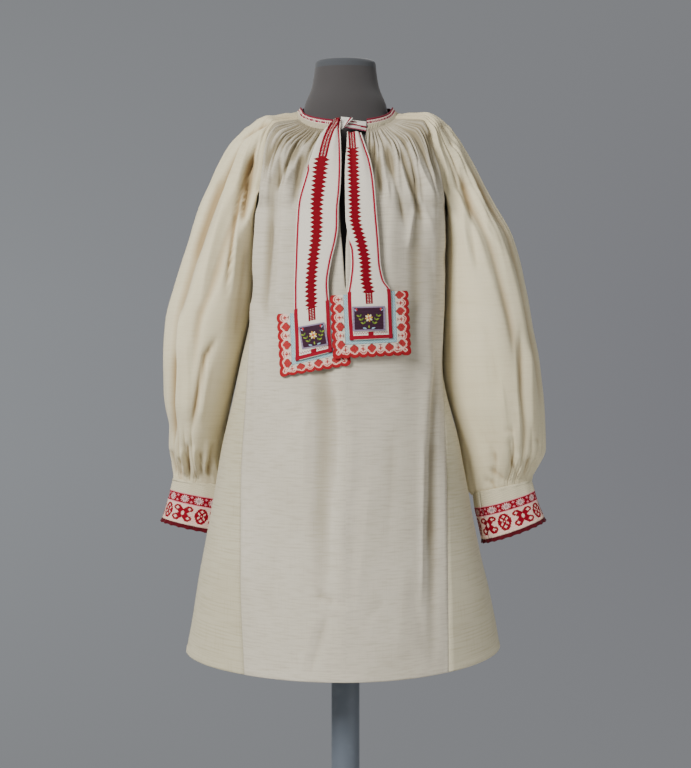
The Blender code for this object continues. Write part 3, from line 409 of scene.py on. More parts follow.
# The gathers: how many ridges, the row where they begin, are full, begin to fade and end, and how high.
PLEAT_COLUMNS = "count begin full fade end height"
BODY_PLEATS = (
    (78, -0.10, -0.05, 0.12, 0.24, 1.1),
    (36, 0.03, 0.10, 0.32, 0.62, 2.9),
    (17, 0.14, 0.30, 0.70, 1.30, 3.9),
)
SLEEVE_PLEATS = (
    (40, -0.10, -0.05, 0.10, 0.20, 1.0),
    (19, 0.03, 0.11, 0.24, 0.48, 2.6),
    (9, 0.16, 0.34, 0.70, 1.50, 3.4),
)

SIDES = ("left", "right")
FRONTWARD = (0.0, -1.0, 0.0)
# The whole width of each kind of cloth, in metres, for its UV map.
PANEL_WIDTH = 0.62
GORE_WIDTH = 0.24
SLEEVE_WIDTH = 0.5
TIE_WIDTH = 0.055
# The cuff's strip: its length, its height, and the height of the plain cloth above the red.
CUFF_LENGTH = 262.0
CUFF_TALL = 74.0
CUFF_PLAIN = 23.0
# How far a sleeve's underside hangs at the armpit, and how much lower the collar is at the back.
ARMPIT_DIP = 30.0
COLLAR_BACK_DROP = 8.5
HEM_STEP = 0.7
HEM_ROWS = (2.976, 2.979)
# The height at which the cap of the form's neck begins, and the distance within which points weld,
# both in metres, and how deep a trough is in mm where its shade is full.
CAP_LINE = 1.5085
WELD = 2e-5
DEEP_FOLD = 9.0

SHELL = 1.1
BAND_SHELL = 1.4
SEAM_PUFF = 0.4
SEAM_WIDTH = 6.0
STITCH = 1.45
# How much deeper the creases of the chest and the sleeves are than their tables say, and how sharp
# all are (2 is round, 1 is an edge).
BODY_CREASE_DEPTH = 2.1
SLEEVE_CREASE_DEPTH = {"left": 2.2, "right": 1.15}
CREASE_EDGE = 1.4
LACE_STITCH = 0.8
BRAID_SEEN = 6.6
# How far the right tie's end hangs below the solid's, and how far the left lace's corner curls up.
END_DROP = {"left": 0.0, "right": 4.0}
CORNER_CURL = {"left": (2.0, 11.0), "right": (0.0, 0.0)}

# Loose fibres scatter nearly all the light, so that cloth has much less gloss than a smooth solid.
CLOTH_GLOSS = 0.15

BACKDROP = "#828487"
BACKDROP_LIGHT = "#8f9296"
BACKDROP_DARK = "#7d7e83"
FLOOR = "#dcdcda"


def linear(text):
    """An sRGB hex colour as linear red, green and blue."""
    values = [int(text[i : i + 2], 16) / 255 for i in (1, 3, 5)]
    return tuple(v / 12.92 if v <= 0.04045 else ((v + 0.055) / 1.055) ** 2.4 for v in values)


def table_at(table, columns, key):
    """The values of a table's named columns where its first column is key, on a smooth curve."""
    rows = np.array(table, float)
    known = rows[:, 0]
    values = rows[:, 1:]
    key = np.clip(np.asarray(key, float), known[0], known[-1])
    steps = np.diff(known)
    slopes = np.diff(values, axis=0) / steps[:, None]
    tangents = np.vstack([slopes[:1], slopes, slopes[-1:]])
    before = tangents[:-1]
    after = tangents[1:]
    same_way = before * after > 0
    mean = np.where(same_way, 2 * before * after / np.where(same_way, before + after, 1), 0)
    mean[0] = slopes[0]
    mean[-1] = slopes[-1]
    at = np.clip(np.searchsorted(known, key, side="right") - 1, 0, len(steps) - 1)
    t = ((key - known[at]) / steps[at])[..., None]
    length = steps[at][..., None]
    point = (
        (2 * t**3 - 3 * t**2 + 1) * values[at]
        + (t**3 - 2 * t**2 + t) * length * mean[at]
        + (3 * t**2 - 2 * t**3) * values[at + 1]
        + (t**3 - t**2) * length * mean[at + 1]
    )
    return dict(zip(columns.split()[1:], np.moveaxis(point, -1, 0)))


def smooth(value, start, end):
    """0 before start, 1 after end, and a soft step between them."""
    t = np.clip((value - start) / (end - start), 0.0, 1.0)
    return t * t * (3 - 2 * t)


def body_ring(panel, v, x):
    """Points of the front's or back's smooth surface at rows v and sideways places x."""
    row = table_at(panel, FRONT_COLUMNS, v)
    middle = (row["x_left"] + row["x_right"]) / 2
    on_left = x < middle
    edge = np.where(on_left, row["x_left"], row["x_right"])
    z_edge = np.where(on_left, row["z_left"], row["z_right"])
    reach = np.radians(row["reach"])
    share = np.minimum(np.abs(x - middle) / np.abs(edge - middle), 1.0)
    angle = np.arcsin(share * np.sin(reach))
    lift = np.maximum((np.cos(angle) - np.cos(reach)) / (1 - np.cos(reach)), 0.0)
    y = row["y_side"] + (row["y_middle"] - row["y_side"]) * lift ** row["square"]
    z = z_edge + (row["z_middle"] - z_edge) * lift
    return np.stack([x, y, z], axis=-1)


def panel_edges(panel, v, side):
    """The x of the panel's outer edge on one side at rows v, and of the ring's own edge there."""
    ring = table_at(panel, FRONT_COLUMNS, v)["x_" + side]
    seam = table_at(GORE_SEAMS, GORE_COLUMNS, v)["x_" + side]
    inner = np.maximum(seam, ring) if side == "left" else np.minimum(seam, ring)
    return np.where(v <= GORE_TOP, ring, inner), ring


def slit_edge(v, side):
    """The x of the slit's edge at rows v, or of the middle below the slit."""
    z = table_at(FRONT, FRONT_COLUMNS, v)["z_middle"]
    return np.where(z <= SLIT_END, 0.5, table_at(SLIT, SLIT_COLUMNS, z)["x_" + side])


def panel_point(panel, u, v, side):
    """Points of one half of the front or back: u runs 0 to 1 from the left edge to the right."""
    share = 1 - 2 * u if side == "left" else 2 * u - 1
    edge, ring = panel_edges(panel, v, side)
    start = slit_edge(v, side) if panel is FRONT else 0.5
    row = table_at(panel, FRONT_COLUMNS, v)
    middle = (row["x_left"] + row["x_right"]) / 2
    reach = np.arcsin(np.minimum((edge - middle) / (ring - middle), 1.0) * np.sin(np.radians(row["reach"])))
    x = start + (edge - start) * np.sin(reach * share) / np.sin(reach)
    return body_ring(panel, v, x)


def gore_point(side, u, v):
    """Points of a side gore: u runs 0 to 1 from its front seam round the corner to its back seam."""
    found = []
    for panel in (FRONT, BACK):
        edge, ring = panel_edges(panel, v, side)
        row = table_at(panel, FRONT_COLUMNS, v)
        middle = (row["x_left"] + row["x_right"]) / 2
        corner = math.pi / 2
        seam = np.arcsin(np.minimum((edge - middle) / (ring - middle), 1.0))
        x = middle + (ring - middle) * np.sin(corner + (seam - corner) * np.abs(2 * u - 1))
        found.append(body_ring(panel, v, x))
    return np.where((u < 0.5)[..., None], found[0], found[1])


def body_side(side, z):
    """The x of the body's outer side at heights z, and a little beyond it."""
    v = np.linspace(3.0, 0.4, 120)
    row = table_at(FRONT, FRONT_COLUMNS, v)
    beyond = -1.2 if side == "left" else 1.2
    return np.interp(z, row["z_" + side], row["x_" + side]) + beyond


def sleeve_point(side, u, v):
    """Points of a sleeve: u runs from the front seam over the outside to the back seam at
    OVER_ARC, and on below the armpit along the inside to the front seam again at 1."""
    over = u <= OVER_ARC
    share = np.where(over, u / OVER_ARC, (u - OVER_ARC) / (1 - OVER_ARC))
    front_half = np.where(over, share <= 0.5, share > 0.5)
    angle = math.pi * share
    shoulder = table_at(SHOULDER, SHOULDER_COLUMNS, v)
    front = table_at(FRONT, FRONT_COLUMNS, v)
    back = table_at(BACK, FRONT_COLUMNS, v)
    names = ("x_" + side, "y_side", "z_" + side)
    seam = np.stack([np.where(front_half, front[name], back[name]) for name in names], axis=-1)
    top = np.stack([shoulder["x_" + side], np.zeros_like(v), shoulder["z_" + side]], axis=-1)
    half = 1 - np.abs(1 - 2 * share)
    flat = 1 - smooth(v, 0.0, 0.35)
    out = (1 - (1 - half) ** 2) * flat + np.sin(angle) * (1 - flat)
    away = half * flat + (1 - np.abs(np.cos(angle))) * (1 - flat)
    above = seam + (top - seam) * np.stack([out, away, out], axis=-1)
    ring = table_at(SLEEVES[side], SLEEVE_COLUMNS, v)
    inner = ring["x_inner"]
    body = body_side(side, ring["z_inner"])
    reached = np.maximum(inner, body) if side == "left" else np.minimum(inner, body)
    tucked = (1 - smooth(share, 0.50, 0.78)) * smooth(share, 0.0, 0.3) * smooth(v, 1.0, 1.08)
    inner = inner + (reached - inner) * tucked
    extreme = np.where(over, ring["x_outer"], inner)
    x = ring["x_split"] + (extreme - ring["x_split"]) * np.sin(angle)
    depth = ring["y_half"] * np.abs(np.cos(angle))
    y = ring["y_middle"] + np.where(front_half, -depth, depth)
    along = (x - ring["x_outer"]) / (ring["x_inner"] - ring["x_outer"])
    z = ring["z_outer"] + (ring["z_inner"] - ring["z_outer"]) * along
    z = z - np.where(over, 0.0, ARMPIT_DIP * np.sin(angle) * (1 - smooth(v, 1.0, 1.25)))
    below = np.stack([x, y, z], axis=-1)
    return np.where((v < 1)[..., None], above, below)


def front_depth(x, z):
    """The y of the front's smooth surface at places seen from the front."""
    x = np.asarray(x, float)
    low = np.zeros_like(x)
    high = np.full_like(x, 3.0)
    for _ in range(26):
        v = (low + high) / 2
        row = table_at(FRONT, FRONT_COLUMNS, v)
        held = np.clip(x, row["x_left"] + 1, row["x_right"] - 1)
        above = body_ring(FRONT, v, held)[..., 2] > z
        low = np.where(above, v, low)
        high = np.where(above, high, v)
    return body_ring(FRONT, low, held)[..., 1]


def pleat_height(table, across, v, drift):
    """Gathers as rounded ridges with narrow troughs, uneven in height and spacing."""
    total = np.zeros_like(across)
    for row in table:
        pleat = dict(zip(PLEAT_COLUMNS.split(), row))
        place = across * pleat["count"]
        place = place + 0.30 * np.sin(across * 23.0 + drift) + 0.22 * np.sin(across * 61.0 + 3.0 * v + drift)
        ridge = 2 * np.abs(np.cos(math.pi * place)) ** 0.8 - 1.25
        uneven = 0.72 + 0.28 * np.sin(place * 2.3 + drift) * np.cos(place * 0.71 + 0.4)
        there = smooth(v, pleat["begin"], pleat["full"]) * (1 - smooth(v, pleat["fade"], pleat["end"]))
        total = total + pleat["height"] * ridge * uneven * there
    return total


def fold_height(folds, u, v):
    """The soft folds that a table gives, as ridges and troughs that fade at both ends."""
    total = np.zeros_like(u)
    for row in folds:
        fold = dict(zip(FOLD_COLUMNS.split(), row))
        share = (v - fold["v_top"]) / (fold["v_bottom"] - fold["v_top"])
        centre = fold["u_top"] + (fold["u_bottom"] - fold["u_top"]) * share
        ends = smooth(share, 0.0, 0.25) * (1 - smooth(share, 0.6, 1.0))
        total = total + fold["height"] * ends * np.exp(-(((u - centre) / fold["width"]) ** 2))
    return total


def crease_height(creases, points, depth, mirror=1.0, shift=0.0):
    """Creases placed along lines seen from the front; mirror -1 lays them out the other way."""
    near = EYE_DISTANCE / (EYE_DISTANCE + points[..., 1])
    x = (points[..., 0] * near - shift) * mirror
    z = EYE_HEIGHT + (points[..., 2] - EYE_HEIGHT) * near
    total = np.zeros_like(x)
    for width, height, line in creases:
        line = np.array(line, float)
        lengths = np.linalg.norm(np.diff(line, axis=0), axis=1)
        whole = lengths.sum()
        nearest = np.full_like(x, 1e9)
        share = np.zeros_like(x)
        passed = 0.0
        for start, end, length in zip(line, line[1:], lengths):
            way = (end - start) / length
            along = np.clip((x - start[0]) * way[0] + (z - start[1]) * way[1], 0.0, length)
            aside = np.hypot(x - start[0] - along * way[0], z - start[1] - along * way[1])
            closer = aside < nearest
            nearest = np.where(closer, aside, nearest)
            share = np.where(closer, (passed + along) / whole, share)
            passed += length
        ends = smooth(share, 0.0, 0.22) * (1 - smooth(share, 0.72, 1.0))
        total = total + depth * height * ends * np.exp(-((nearest / (0.9 * width)) ** CREASE_EDGE))
    return total


def slackness(points, drift):
    """Slow unevenness of hanging cloth, a fraction of a millimetre to one high."""
    x, y, z = np.moveaxis(points, -1, 0)
    wave = np.sin(0.031 * x + 0.011 * z + drift) * np.sin(0.017 * z + 0.02 * y + 2.1 * drift)
    return 0.8 * wave + 0.4 * np.sin(0.062 * x - 0.023 * z + 3.7 * drift) * np.sin(0.041 * z + drift)


def node(tree, kind, inputs=None, **settings):
    """Adds a node; inputs maps a socket's name or number to a value, to a hex colour or to
    another node's socket."""
    new = tree.nodes.new(kind)
    for name, value in settings.items():
        setattr(new, name, value)
    for name, value in (inputs or {}).items():
        if isinstance(value, bpy.types.NodeSocket):
            tree.links.new(value, new.inputs[name])
            continue
        if isinstance(value, str):
            value = (*linear(value), 1.0)
        new.inputs[name].default_value = value
    return new


def new_material(name, roughness, sheen=0.0, specular=0.5):
    """A material with its tree and shader, and with the values that are the same all over it."""
    material = bpy.data.materials.new(name)
    material.use_nodes = True
    shader = material.node_tree.nodes["Principled BSDF"]
    shader.inputs["Roughness"].default_value = roughness
    shader.inputs["Specular IOR Level"].default_value = specular
    shader.inputs["Sheen Weight"].default_value = sheen
    return material, material.node_tree, shader


def stretched_noise(tree, place, scale, detail):
    """Noise over a place, finer or coarser along each axis."""
    spread = node(tree, "ShaderNodeMapping", {"Vector": place, "Scale": scale})
    inputs = {"Vector": spread.outputs[0], "Scale": 1.0, "Detail": detail}
    return node(tree, "ShaderNodeTexNoise", inputs).outputs[0]


def thread_crossings(tree, uv, turns):
    """A height that rises and falls with the threads both ways."""
    parts = node(tree, "ShaderNodeSeparateXYZ", {0: uv.outputs[0]})
    waves = []
    for part in parts.outputs[:2]:
        turned = node(tree, "ShaderNodeMath", {0: part, 1: turns}, operation="MULTIPLY")
        waves.append(node(tree, "ShaderNodeMath", {0: turned.outputs[0]}, operation="SINE"))
    inputs = {0: waves[0].outputs[0], 1: waves[1].outputs[0]}
    return node(tree, "ShaderNodeMath", inputs, operation="MULTIPLY").outputs[0]


def fibred(tree, uv, colour, darkest, lightest):
    """A colour made darker and lighter by its fibres, between two factors."""
    fibre = stretched_noise(tree, uv.outputs[0], (900.0, 900.0, 1.0), 2.0)
    shade = node(tree, "ShaderNodeMapRange", {0: fibre, 1: 0.3, 2: 0.7, 3: darkest, 4: lightest})
    inputs = {0: colour, "Scale": shade.outputs[0]}
    return node(tree, "ShaderNodeVectorMath", inputs, operation="SCALE").outputs[0]


def dress_shader(tree, shader, colour, height, strength, distance):
    """Gives the shader its colour, and its fine relief in metres."""
    tree.links.new(colour, shader.inputs["Base Color"])
    bump = node(tree, "ShaderNodeBump", {"Height": height, "Strength": strength, "Distance": distance})
    tree.links.new(bump.outputs[0], shader.inputs["Normal"])


def woven_cloth(name, light, dark, trough, thread, slub, uneven):
    """Plain-woven cloth on its own UV map, in metres: threads both ways, thicker slubs along the
    weft, slow changes of tone, and painted shade: a darker, warmer tone low in the folds and among
    the gathers below the neck, for their shade and for the light that comes through the cloth there.
    thread is the spacing drawn, in metres, a little over the real one so that it shows."""
    material, tree, shader = new_material(name, 0.92, sheen=0.12, specular=CLOTH_GLOSS)
    uv = node(tree, "ShaderNodeUVMap", uv_map="cloth")
    place = node(tree, "ShaderNodeTexCoord")
    # Real slubs are under 1 mm thick; they are drawn 3 mm thick, so that they still show from afar.
    weft = stretched_noise(tree, uv.outputs[0], (20.0, 330.0, 1.0), 3.0)
    warp = stretched_noise(tree, uv.outputs[0], (560.0, 18.0, 1.0), 2.0)
    slow = node(tree, "ShaderNodeTexNoise", {"Vector": place.outputs["Object"], "Scale": 7.0, "Detail": 3.0})
    tone = node(tree, "ShaderNodeMix", {0: slow.outputs[0], 6: light, 7: dark}, data_type="RGBA")
    weft_dark = node(tree, "ShaderNodeMapRange", {0: weft, 1: 0.46, 2: 0.80, 4: slub})
    warp_dark = node(tree, "ShaderNodeMapRange", {0: warp, 1: 0.55, 2: 0.85, 4: slub * 0.6})
    slubs = node(tree, "ShaderNodeMath", {0: weft_dark.outputs[0], 1: warp_dark.outputs[0]}, operation="ADD")
    inputs = {0: slubs.outputs[0], 6: tone.outputs[2], 7: dark}
    slubbed = node(tree, "ShaderNodeMix", inputs, data_type="RGBA", blend_type="MULTIPLY")
    # Painted shade: the depth attribute mixes the colour towards the trough colour in the folds and gathers.
    depth = node(tree, "ShaderNodeAttribute", attribute_name="depth")
    inputs = {0: depth.outputs["Fac"], 6: slubbed.outputs[2], 7: trough}
    painted_fold_shade = node(tree, "ShaderNodeMix", inputs, data_type="RGBA")
    threads = thread_crossings(tree, uv, 2 * math.pi / thread)
    weave = node(tree, "ShaderNodeMath", {0: threads, 1: 0.5}, operation="MULTIPLY")
    height = node(tree, "ShaderNodeMath", {0: weft, 1: uneven, 2: weave.outputs[0]}, operation="MULTIPLY_ADD")
    dress_shader(tree, shader, painted_fold_shade.outputs[2], height.outputs[0], 0.35, 0.0004)
    return material


def stitched_cloth(name, cell, relief, roughness=0.88):
    """Counted-thread work: the colour of each stitch is the mesh's own, and every stitch stands a
    little proud, as a cell of the UV map, in metres."""
    material, tree, shader = new_material(name, roughness, sheen=0.05, specular=CLOTH_GLOSS)
    stitch = node(tree, "ShaderNodeAttribute", attribute_name="stitch")
    uv = node(tree, "ShaderNodeUVMap", uv_map="cloth")
    colour = fibred(tree, uv, stitch.outputs["Color"], 0.84, 1.12)
    crossings = thread_crossings(tree, uv, math.pi / cell)
    proud = node(tree, "ShaderNodeMath", {0: crossings}, operation="ABSOLUTE")
    dress_shader(tree, shader, colour, proud.outputs[0], 0.5, relief)
    return material


def form_cloth():
    """The dress form's cover: tight dark grey cotton jersey, its knit drawn at 1.6 mm, with a
    cooler grey band round the top of the neck."""
    material, tree, shader = new_material("form_jersey", 0.95, sheen=0.25)
    place = node(tree, "ShaderNodeTexCoord").outputs["Object"]
    parts = node(tree, "ShaderNodeSeparateXYZ", {0: place})
    cap = node(tree, "ShaderNodeMath", {0: parts.outputs[2], 1: CAP_LINE}, operation="GREATER_THAN")
    slow = node(tree, "ShaderNodeTexNoise", {"Vector": place, "Scale": 14.0, "Detail": 4.0})
    cover = node(tree, "ShaderNodeMix", {0: slow.outputs[0], 6: "#413d3c", 7: "#393635"}, data_type="RGBA")
    inputs = {0: cap.outputs[0], 6: cover.outputs[2], 7: "#3f4144"}
    capped = node(tree, "ShaderNodeMix", inputs, data_type="RGBA")
    knit = stretched_noise(tree, place, (620.0, 620.0, 900.0), 1.0)
    dress_shader(tree, shader, capped.outputs[2], knit, 0.3, 0.0004)
    return material


def painted_steel():
    """Powder-coated steel: satin, blue-grey, with the coat's fine orange peel and a few scuffs."""
    material, tree, shader = new_material("powder_coated_steel", 0.42)
    place = node(tree, "ShaderNodeTexCoord").outputs["Object"]
    scuff = node(tree, "ShaderNodeTexNoise", {"Vector": place, "Scale": 38.0, "Detail": 5.0}).outputs[0]
    amount = node(tree, "ShaderNodeMapRange", {0: scuff, 1: 0.55, 2: 0.8, 4: 0.5})
    colour = node(tree, "ShaderNodeMix", {0: amount.outputs[0], 6: "#596069", 7: "#6b727c"}, data_type="RGBA")
    rough = node(tree, "ShaderNodeMapRange", {0: scuff, 1: 0.3, 2: 0.7, 3: 0.36, 4: 0.52})
    tree.links.new(rough.outputs[0], shader.inputs["Roughness"])
    peel = node(tree, "ShaderNodeTexNoise", {"Vector": place, "Scale": 520.0, "Detail": 1.0})
    dress_shader(tree, shader, colour.outputs[2], peel.outputs[0], 0.12, 0.0002)
    return material


def row_of(points, uv, height, **more):
    return {"points": points, "uv": uv, "height": height, **more}


def uv_line(along, down):
    """A row's cloth coordinates in metres: along it, and how far down the cloth it lies."""
    return np.stack([along, np.full_like(along, -down)], axis=1)


def face_places(lengths, count, tall):
    """How far along and how far down the middle of each face of a grid lies."""
    across, down = np.meshgrid((lengths[1:] + lengths[:-1]) / 2, (np.arange(count) + 0.5) / count * tall)
    return across.ravel(), down.ravel()


def all_of(text, count):
    """One colour for each of a number of faces."""
    return np.tile(linear(text), (count, 1))


def add_attribute(mesh, name, kind, field, values, domain="POINT"):
    layer = mesh.attributes.new(name, kind, domain)
    layer.data.foreach_set(field, values.astype(np.float32).ravel())


def read_field(data, field, width=1):
    """A field of every element of a mesh's data, as numbers or as rows of them."""
    values = np.empty(len(data) * width, np.float32)
    data.foreach_get(field, values)
    return values.reshape(-1, width) if width > 1 else values


def apply_modifier(obj, kind, **settings):
    modifier = obj.modifiers.new("made", kind)
    for name, value in settings.items():
        setattr(modifier, name, value)
    bpy.ops.object.select_all(action="DESELECT")
    obj.select_set(True)
    bpy.context.view_layer.objects.active = obj
    bpy.ops.object.modifier_apply(modifier=modifier.name)


def link_piece(name, mesh, material, nodes):
    """A piece that rides on the model's body and stands for the named CAD nodes."""
    obj = bpy.data.objects.new(name, mesh)
    bpy.context.scene.collection.objects.link(obj)
    mesh.materials.clear()
    mesh.materials.append(material)
    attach(obj, "root")
    if nodes:
        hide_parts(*nodes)
    return obj


def strip_faces(strips):
    """Quads between rows of equal length, and three triangles a step where the lower row has half as many."""
    faces = []
    count = 0
    for rows in strips:
        spans = []
        for row in rows:
            spans.append((count, len(row["points"])))
            count += len(row["points"])
        for (above, size), (below, size_below) in zip(spans, spans[1:]):
            j = np.arange(min(size, size_below) - 1)
            d = below + j
            if size == size_below:
                a = above + j
                faces.extend(np.stack([a, d, d + 1, a + 1], axis=1).tolist())
                continue
            a = above + 2 * j
            faces.extend(np.stack([a, d, a + 1], axis=1).tolist())
            faces.extend(np.stack([a + 1, d, d + 1], axis=1).tolist())
            faces.extend(np.stack([a + 1, d + 1, a + 2], axis=1).tolist())
    return faces


def cloth_piece(name, strips, material, nodes, slot, thickness=SHELL, colours=None, kept=None, outward=None):
    """A thin shell from strips of rows: its smooth form, then its folds along the form's normals,
    then its thickness inwards. colours gives each face's colour, and kept leaves faces out."""
    faces = strip_faces(strips)
    rows = [row for strip in strips for row in strip]
    whole = {key: np.concatenate([row[key] for row in rows]) for key in rows[0]}
    mesh = bpy.data.meshes.new(name)
    mesh.from_pydata((whole["points"] * MM).tolist(), [], faces)
    corners = np.empty(len(mesh.loops), np.int32)
    mesh.loops.foreach_get("vertex_index", corners)
    layer = mesh.uv_layers.new(name="cloth")
    layer.data.foreach_set("uv", whole["uv"][corners].astype(np.float32).ravel())
    add_attribute(mesh, "fold", "FLOAT", "value", whole["height"] * MM)
    if "shade" in whole:
        add_attribute(mesh, "shade", "FLOAT", "value", whole["shade"])
    for extra in [key for key in whole if key in ("band", "edges")]:
        add_attribute(mesh, extra, "FLOAT_VECTOR", "vector", whole[extra])
    if colours is not None:
        sizes = np.array([len(face) for face in faces])
        each = np.repeat(np.hstack([colours, np.ones((len(colours), 1))]), sizes, axis=0)
        add_attribute(mesh, "stitch", "FLOAT_COLOR", "color", each, "CORNER")
    work = bmesh.new()
    work.from_mesh(mesh)
    if kept is not None:
        work.faces.ensure_lookup_table()
        gone = [work.faces[i] for i in np.flatnonzero(~kept)]
        bmesh.ops.delete(work, geom=gone, context="FACES")
    bmesh.ops.remove_doubles(work, verts=work.verts, dist=WELD)
    work.to_mesh(mesh)
    work.free()
    turn_outwards(mesh, outward)
    fold = read_field(mesh.attributes["fold"].data, "value")
    normals = read_field(mesh.vertex_normals, "vector", 3)
    places = read_field(mesh.vertices, "co", 3) + normals * fold[:, None]
    mesh.vertices.foreach_set("co", places.ravel())
    # Painted shade: depth is how far the colour goes towards the cloth's darker trough colour, deeper in
    # troughs and in the gathers below the neck.
    low = np.clip(-fold / MM / DEEP_FOLD - 0.05, 0.0, 0.75)
    if "shade" in mesh.attributes:
        shade = read_field(mesh.attributes["shade"].data, "value")
        low = np.clip(low + shade * (1.0 - 0.25 * np.clip(fold / MM, -1.0, 3.0)), 0.0, 0.85)
    add_attribute(mesh, "depth", "FLOAT", "value", low)
    mesh.update()
    obj = link_piece(name, mesh, material, nodes)
    apply_modifier(obj, "SOLIDIFY", thickness=thickness * MM, offset=-1.0, use_rim=True)
    obj.data.shade_smooth()
    return obj


def turn_outwards(mesh, outward):
    """Turns the faces away from the model's axis, or towards the given way."""
    centres = read_field(mesh.polygons, "center", 3)
    normals = read_field(mesh.polygons, "normal", 3)
    if outward is None:
        away = centres - np.array([centres[:, 0].mean(), 0.0, 0.0])
        away[:, 2] = 0.0
    else:
        away = np.array(outward)
    if (normals * away).sum() < 0:
        mesh.flip_normals()


def hem_height(v):
    """How far the turned-up hem stands out."""
    return HEM_STEP * smooth(v, *HEM_ROWS)


def length_down(rows):
    """How far down the cloth each row lies, measured along the middle of the strip, in metres."""
    middles = np.array([row[len(row) // 4] for row in rows])
    steps = np.linalg.norm(np.diff(middles, axis=0), axis=1)
    return np.concatenate([[0.0], np.cumsum(steps)]) * MM


TOP_ROWS = np.linspace(0.0, 0.30, 40)
SHOULDER_ROWS = np.linspace(0.30, 1.10, 30)[1:]
HEM_FINE_ROWS = [2.978, 2.984, 2.990, 2.995, 3.0]
SKIRT_ROWS = np.concatenate([np.linspace(1.10, 2.97, 118)[1:], HEM_FINE_ROWS])
SLEEVE_LOWER_ROWS = np.linspace(1.10, 2.238, 120)[1:]


def panel_height(panel, u, v, points):
    """How far the front's or back's cloth stands out: gathers, folds, creases and hem. The back's
    creases are the front's, laid out the other way and a little aside."""
    is_front = panel is FRONT
    inset = np.minimum(u, 1 - u)
    folds = fold_height(FRONT_FOLDS if is_front else BACK_FOLDS, u, v)
    height = smooth(inset, 0.0, 0.05) * (pleat_height(BODY_PLEATS, u, v, 1.3 if is_front else 4.1) + folds)
    near = smooth(inset, 0.0, 0.03)
    depth = 1.0 + (BODY_CREASE_DEPTH - 1.0) * smooth(points[..., 2], 900.0, 1220.0)
    layout = (1.0, 0.0) if is_front else (-1.0, 14.0)
    height = height + near * crease_height(FRONT_CREASES, points, depth, *layout)
    height = height + near * slackness(points, 0.9 if is_front else 2.7)
    height = height + SEAM_PUFF * smooth(inset * 360, 0.0, SEAM_WIDTH)
    if is_front:
        z_middle = table_at(FRONT, FRONT_COLUMNS, v)["z_middle"]
        from_slit = np.abs(u - 0.5) * 340
        rolled = 0.9 * np.exp(-(((from_slit - 2.5) / 2.0) ** 2)) * smooth(z_middle, SLIT_END, SLIT_END + 10)
        height = height + rolled
    return height + hem_height(v) * smooth(inset, 0.0, 0.01)


def surface_strip(v_rows, u_rows, point_at, height_at, width, u_shift=0.0, shaded=(0.3, 0.55)):
    """Rows over a surface, each with its own places across: points, cloth coordinates and heights.
    shaded says how deep the shade among the gathers is below the neck, and at which row it ends."""
    sizes = [len(u_row) for u_row in u_rows]
    cuts = np.cumsum(sizes)[:-1]
    u = np.concatenate(u_rows)
    v = np.repeat(v_rows, sizes)
    points = point_at(u, v)
    heights = height_at(u, v, points)
    rows = np.split(points, cuts)
    uv = np.stack([(u + u_shift) * width, -np.repeat(length_down(rows), sizes)], axis=1)
    shade = shaded[0] * (1 - smooth(v, 0.1, shaded[1]))
    others = (np.split(values, cuts) for values in (uv, heights, shade))
    return [row_of(*each[:3], shade=each[3]) for each in zip(rows, *others)]


def panel_strip(panel, side, fine):
    """The rows of one half of the front or back, twice as fine above the shoulder rows."""
    v_rows = np.concatenate([TOP_ROWS, SHOULDER_ROWS, SKIRT_ROWS])
    ends = (0.0, 0.5) if side == "left" else (0.5, 1.0)
    u_rows = [np.linspace(*ends, (fine if v <= TOP_ROWS[-1] else fine // 2) + 1) for v in v_rows]
    return surface_strip(
        v_rows,
        u_rows,
        lambda u, v: panel_point(panel, u, v, side),
        lambda u, v, points: panel_height(panel, u, v, points),
        PANEL_WIDTH,
        shaded=(0.8, 1.25),
    )


def make_panel(name, node_name, panel, material, fine):
    strips = [panel_strip(panel, side, fine) for side in SIDES]
    return cloth_piece(name, strips, material, [node_name], "linen")


def gore_height(u, v, points):
    """How far a gore stands out: soft slackness, a fold beside its seams and its hem."""
    inset = np.minimum(u, 1 - u)
    loose = smooth(inset, 0.0, 0.2) * slackness(points, 1.7)
    loose = loose + 2.2 * np.sin(6.0 * u + 1.0) * smooth(inset, 0.0, 0.25)
    puffed = loose + SEAM_PUFF * smooth(inset, 0.0, 0.06)
    return smooth(v, 1.55, 1.9) * puffed + hem_height(v) * smooth(inset, 0, 0.05)


def make_gore(side, material):
    v_rows = np.concatenate([np.linspace(GORE_TOP, 2.97, 120), HEM_FINE_ROWS])
    u_rows = [np.linspace(0.0, 1.0, 33)] * len(v_rows)
    rows = surface_strip(v_rows, u_rows, lambda u, v: gore_point(side, u, v), gore_height, GORE_WIDTH, 4.0)
    return cloth_piece("side_gore_" + side, [rows], material, ["gore_" + side], "linen")


